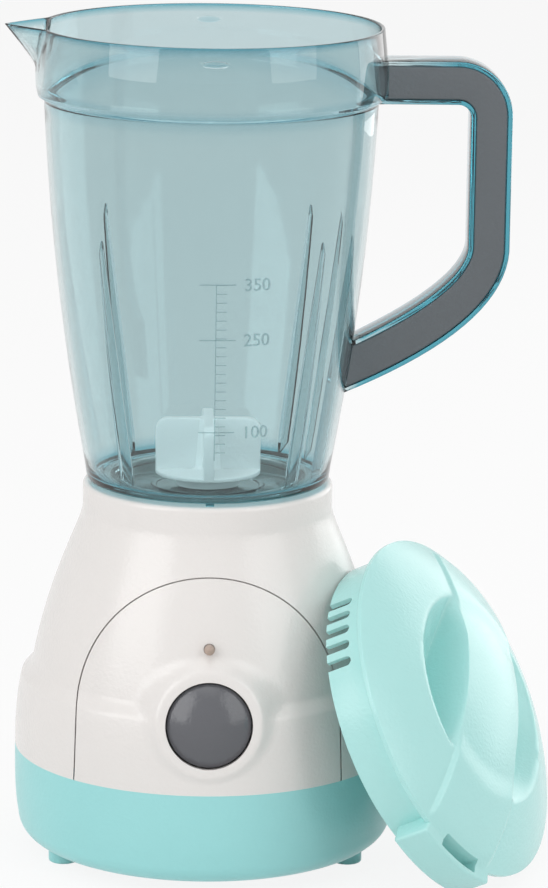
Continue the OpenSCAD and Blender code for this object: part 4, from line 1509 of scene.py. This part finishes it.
@dataclass
class Lid:
    """Aqua lid with a comb of strainer slots, a pull tab and a grip bar between two recesses."""

    plug_r: float = 51.45
    flange_r: float = 54.8
    flange_z: float = 13.2
    flange_t: float = 1.6
    dome_h: float = 14.8
    wall: float = 1.6
    slots: int = 5
    slot_at: float = -138.0
    slot_step: float = 6.4
    slot_w: float = 3.1
    slot_depth: float = 8.4
    tab_reach: float = 3.2
    tab_at: float = -46.0
    tab_sweep: float = 36.0
    tab_low: float = 2.5
    tab_top: float = 14.1
    tab_wall: float = 1.2
    hole_sweep: float = 19.0
    bar_turn: float = -50.0
    bar_half: float = 14.5
    bar_flare: float = 4.0
    bar_proud: float = 1.1
    bar_line: float = 0.30
    side_line: float = 0.62
    side_w: float = 2.6
    recess_r: float = 33.7
    recess_z: float = 11.8
    lean: float = 63.8
    azimuth: float = -25.0
    place: float = -18.9
    out: float = 69.2
    up: float = 46.31
    columns: int = 150
    rows: int = 220

    @property
    def top_z(self) -> float:
        """Height of the dome's crown above the skirt's free edge."""
        return self.flange_z + self.flange_t + self.dome_h

    def dome(self, r: float) -> float:
        """Gives the height of the plain dome at a radius."""
        big = (self.flange_r ** 2 + self.dome_h ** 2) / (2 * self.dome_h)
        return self.top_z - big + math.sqrt(big * big - r * r)

    def edge(self, along: float) -> float:
        """Gives the half width of the bar, which flares towards one end."""
        return self.bar_half + self.bar_flare * eased((along - 12) / 22)

    def height(self, along: float, across: float, inset: float) -> float:
        """Gives the height of the lid's top, or of the skin below it.

        Args:
            along, across: Place along the bar and across it.
            inset: Depth of the skin below the top.

        Returns:
            The height above the skirt's free edge.
        """
        r = min(math.hypot(along, across) + inset, self.flange_r)
        plain = self.dome(r)
        edge = self.edge(along if across > 0 else -along) - inset
        beyond = abs(across) - edge
        side = eased(beyond / self.side_w)
        start = self.edge(0)
        scoop = self.recess_z + (self.dome(self.recess_r) - self.recess_z) * max(
            0.0, (r - 2 * inset - start) / (self.recess_r - start)) ** 1.1
        if r > self.recess_r:
            scoop = plain + (r - self.recess_r)
        floor = -blended(-plain, -scoop, 0.9)
        proud = self.bar_proud * eased((r - 26) / 10) * eased((self.flange_r - r) / 5)
        lift = proud * (1 - eased((beyond + 1.2) / 2.0))
        return plain * (1 - side) + floor * side + lift - inset

    def cap(self, line: Sequence[Point], inset: float = 0.0) -> bpy.types.Object:
        """Shapes the top from a grid whose lines follow the bar, and draws the skirt down from it.

        Args:
            line: The skirt from the top's edge down to its foot.
            inset: Depth of the skin below the top.

        Returns:
            A closed solid.
        """
        piece = grid(self.rows, self.columns,
                     lambda s, t: self.spread(s, t, line[0][0], inset))
        bpy.ops.mesh.select_mode(type="EDGE")
        bpy.ops.mesh.select_all(action="DESELECT")
        bpy.ops.mesh.select_non_manifold(extend=False)
        for (r0, z0), (r1, z1) in zip(line, line[1:]):
            bpy.ops.mesh.extrude_region_move(
                TRANSFORM_OT_translate={"value": (0, 0, z1 - z0)})
            bpy.ops.transform.resize(value=(r1 / r0, r1 / r0, 1), center_override=(0, 0, 0))
        bpy.ops.mesh.edge_face_add()
        bpy.ops.mesh.select_mode(type="VERT")
        return closed_up(piece)

    def spread(self, s: float, t: float, reach: float, inset: float) -> Vector:
        """Places a point of the flat grid on the lid's top.

        Args:
            s: From -1 to 1 along the bar.
            t: From -1 to 1 across it.
            reach: Radius of the grid's edge.
            inset: Depth of the skin below the top.

        Returns:
            Its place in the lid's own frame.
        """
        a = s * math.pi / 2
        along = reach * math.sin(a)
        chord = reach * math.cos(a)
        edge = min(self.edge(along if t > 0 else -along) - inset, 0.62 * chord)
        foot = min(edge + self.side_w, 0.8 * chord)
        slope = foot - edge
        stops = [(0.0, 0.0), (self.bar_line, edge - 0.4 * slope),
                 (self.side_line, foot + 0.2 * slope), (1.0, chord)]
        size = abs(t)
        across = chord
        for (t0, c0), (t1, c1) in zip(stops, stops[1:]):
            if size <= t1:
                across = c0 + (c1 - c0) * (size - t0) / (t1 - t0)
                break
        across = math.copysign(across, t)
        turn = math.radians(self.bar_turn)
        return Vector((along * math.cos(turn) - across * math.sin(turn),
                       along * math.sin(turn) + across * math.cos(turn),
                       self.height(along, across, inset)))

    def tab(self) -> bpy.types.Object:
        """Makes the pull tab on the edge of the lid.

        Returns:
            A closed solid.
        """
        outer = self.flange_r + self.tab_reach
        line = rounded([(self.plug_r - 0.5, self.tab_low, 0), (outer, self.tab_low, 1.2),
                        (outer, self.tab_top, 0.9), (self.plug_r - 0.5, self.tab_top + 1.6, 0),
                        (self.plug_r - 0.5, self.tab_low, 0)])
        piece = lathe("tab", line, 36, self.tab_sweep, self.tab_at - self.tab_sweep / 2)
        return bevelled(piece, 0.7, 60)

    def tab_hole(self) -> bpy.types.Object:
        """Makes the tool solid of the slot in the pull tab."""
        outer = self.flange_r + self.tab_reach - self.tab_wall
        inner = self.plug_r + 1.4
        low = self.tab_low + 4
        line = [(inner, low), (outer, low), (outer, 22), (inner, 22), (inner, low)]
        piece = lathe("hole", line, 19, self.hole_sweep, self.tab_at - self.hole_sweep / 2)
        return bevelled(piece, 0.5, 60)

    def comb_slot(self, turn: float) -> bpy.types.Object:
        """Makes the tool solid of one strainer slot.

        Args:
            turn: Its angle round the lid.

        Returns:
            A closed tool solid.
        """
        half = self.slot_w / 2
        line = [(-half, -2), *arc(0, self.slot_depth - half, half, 180, 0, 12), (half, -2)]
        piece = prism("slot", [Vector((self.plug_r - 5, x, z)) for x, z in line],
                      Vector((10, 0, 0)))
        return moved(piece, turned(turn))

    def build(self) -> bpy.types.Object:
        """Builds the lid and leans it against the base.

        Returns:
            The finished piece.
        """
        brim = self.flange_z + self.flange_t
        piece = self.cap(rounded([
            (self.flange_r, brim, 0), (self.flange_r, self.flange_z, 0.5),
            (self.plug_r, self.flange_z, 0.4), (self.plug_r, 6.6, 0), (self.plug_r, 0, 0.5),
            (self.plug_r - 0.5, 0, 0)]))
        inner = self.plug_r - self.wall
        work(piece, self.cap([(inner, brim), (inner, -2)], self.wall), Cut.AWAY)
        work(piece, self.tab(), Cut.TOGETHER)
        work(piece, self.tab_hole(), Cut.AWAY)
        for i in range(self.slots):
            turn = self.slot_at + (i - (self.slots - 1) / 2) * self.slot_step
            work(piece, self.comb_slot(turn), Cut.AWAY)
        spot = math.radians(self.place)
        middle = at(self.out * math.cos(spot), self.out * math.sin(spot), self.up)
        moved(piece, middle @ turned(self.azimuth) @ turned(self.lean, "Y"))
        return signed_off(piece, "lid_moulding", Part.LID, Look.LID, ["lid"], 36)


# ---------------------------------------------------------------- inner pieces and the studio


@dataclass
class InnerPieces:
    """Pieces that keep the shape of the frame and only need their finish."""

    looks: dict[str, Look] = field(default_factory=lambda: {
        look.value.slot: look for look in Look})

    def dress(self) -> None:
        """Gives each piece that isn't replaced the finish of its material slot."""
        slots = {n["node"]: n.get("material_slot") for n in frame["record"]["subparts"]}
        for name, piece in frame["nodes"].items():
            look = self.looks.get(slots.get(name) or "")
            if look is None:
                continue
            material = look.value.made()
            for i in range(len(piece.material_slots)):
                piece.material_slots[i].material = material
            if not piece.material_slots:
                piece.data.materials.append(material)
        log.info("inner pieces: %d dressed", len(slots))


@dataclass
class Studio:
    """Pale floor, white surroundings, soft boxes and the camera."""

    camera: tuple[float, float, float] = (-0.02762, -1.33512, 0.43898)
    heading: float = -2.07
    pitch: float = 13.023
    roll: float = 0.785
    lens: float = 177.61
    fill: float = 0.40
    floor_glow: float = 0.88

    def build(self) -> None:
        """Builds the surroundings."""
        self.world()
        self.floor()
        self.lamps()
        self.view()
        bpy.context.scene.view_settings.view_transform = "Standard"
        log.info("studio: ready")

    @staticmethod
    def seen(tree: bpy.types.NodeTree) -> bpy.types.NodeSocket:
        """Adds the test for rays that show the background.

        Args:
            tree: Node tree of the world or a material.

        Returns:
            A value of 1 for camera, glossy and transmission rays.
        """
        ray = tree.nodes.new("ShaderNodeLightPath")
        total = ray.outputs["Is Camera Ray"]
        for name in ("Is Glossy Ray", "Is Transmission Ray"):
            add = tree.nodes.new("ShaderNodeMath")
            add.operation = "ADD"
            add.use_clamp = True
            tree.links.new(total, add.inputs[0])
            tree.links.new(ray.outputs[name], add.inputs[1])
            total = add.outputs[0]
        return total

    def world(self) -> None:
        """Makes the surroundings white where they are seen and softer where they only light."""
        world = bpy.data.worlds.new("studio")
        bpy.context.scene.world = world
        world.use_nodes = True
        tree = world.node_tree
        light = tree.nodes["Background"]
        light.inputs["Strength"].default_value = self.fill
        white = tree.nodes.new("ShaderNodeBackground")
        light.inputs["Color"].default_value = white.inputs["Color"].default_value = (1, 1, 1, 1)
        white.inputs["Strength"].default_value = 1.0
        mix = tree.nodes.new("ShaderNodeMixShader")
        tree.links.new(self.seen(tree), mix.inputs["Fac"])
        tree.links.new(light.outputs[0], mix.inputs[1])
        tree.links.new(white.outputs[0], mix.inputs[2])
        tree.links.new(mix.outputs[0], tree.nodes["World Output"].inputs["Surface"])

    def floor(self) -> None:
        """Lays the pale floor, which keeps a light shadow of the object."""
        bpy.ops.object.select_all(action="DESELECT")
        bpy.ops.mesh.primitive_plane_add(size=14, location=(0, 0, -0.0002))
        plane = settle(bpy.context.object)
        plane.name = "floor"
        material = bpy.data.materials.new("floor_card")
        material.use_nodes = True
        tree = material.node_tree
        shader = tree.nodes["Principled BSDF"]
        shader.inputs["Base Color"].default_value = linear(240, 240, 240)
        shader.inputs["Roughness"].default_value = 0.9
        glow = tree.nodes.new("ShaderNodeEmission")
        part = tree.nodes.new("ShaderNodeMath")
        part.operation = "MULTIPLY"
        part.inputs[1].default_value = self.floor_glow
        tree.links.new(self.seen(tree), part.inputs[0])
        mix = tree.nodes.new("ShaderNodeMixShader")
        tree.links.new(part.outputs[0], mix.inputs["Fac"])
        tree.links.new(shader.outputs["BSDF"], mix.inputs[1])
        tree.links.new(glow.outputs[0], mix.inputs[2])
        tree.links.new(mix.outputs[0], tree.nodes["Material Output"].inputs["Surface"])
        plane.data.materials.append(material)
        plane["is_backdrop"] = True

    def lamps(self) -> None:
        """Places tall soft boxes before the object at both sides, behind at the right and above."""
        self.lamp("key_box", 53, 1.15, 0.70, (0.85, 1.15), 7.2)
        self.lamp("fill_box", -53, 1.15, 0.70, (0.80, 1.15), 4.6)
        self.lamp("back_box", -130, 1.15, 0.32, (0.9, 1.0), 4.2)
        self.lamp("top_box", 20, 0.35, 1.60, (1.2, 1.2), 4.0)

    @staticmethod
    def lamp(name: str, left: float, away: float, height: float, size: Point,
             power: float) -> None:
        """Places one soft box that faces the object.

        Args:
            name: Its name.
            left: Its angle to the left of the camera, in degrees.
            away: Its distance from the axis, in metres.
            height: Height of its middle.
            size: Its width and height.
            power: Its power in watts.
        """
        bpy.ops.object.select_all(action="DESELECT")
        bpy.ops.object.light_add(type="AREA")
        lamp = bpy.context.object
        lamp.name = name
        lamp.data.shape = "RECTANGLE"
        lamp.data.size, lamp.data.size_y = size
        lamp.data.energy = power
        a = math.radians(left)
        lamp.location = (-away * math.sin(a), -away * math.cos(a), height)
        aim = Vector((0, 0, 0.12)) - Vector(lamp.location)
        lamp.rotation_euler = aim.to_track_quat("-Z", "Y").to_euler()

    def view(self) -> None:
        """Places the camera at the angle of the photograph."""
        bpy.ops.object.camera_add()
        camera = bpy.context.object
        camera.name = "camera"
        camera.data.lens = self.lens
        camera.data.sensor_width = 36
        camera.data.clip_start = 0.05
        camera.data.clip_end = 40
        yaw, pitch, roll = (math.radians(a) for a in (self.heading, self.pitch, self.roll))
        turn = (Matrix.Rotation(yaw, 4, "Z") @ Matrix.Rotation(math.pi / 2 - pitch, 4, "X")
                @ Matrix.Rotation(roll, 4, "Z"))
        camera.matrix_world = Matrix.Translation(self.camera) @ turn
        bpy.context.scene.camera = camera


def corners(bounds: Sequence[Sequence[float]]) -> list[list[float]]:
    """Turns a box into plain lists of numbers."""
    return [[float(value) for value in corner] for corner in bounds]


def main() -> None:
    """Builds the object and its surroundings, piece by piece."""
    cad_box = corners(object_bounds())
    Studio().build()
    InnerPieces().dress()
    tray = Tray()
    tray.build()
    tray.door()
    housing = Housing()
    housing.build()
    FrontPanel(housing).build()
    button = StartButton()
    button.build()
    button.lamp()
    jug = Jug()
    jug.build()
    jug.scale()
    jug.grips()
    Beater().build()
    Lid().build()
    {"cad": cad_box, "visual": corners(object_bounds())}


if __name__ == "__main__":
    main()
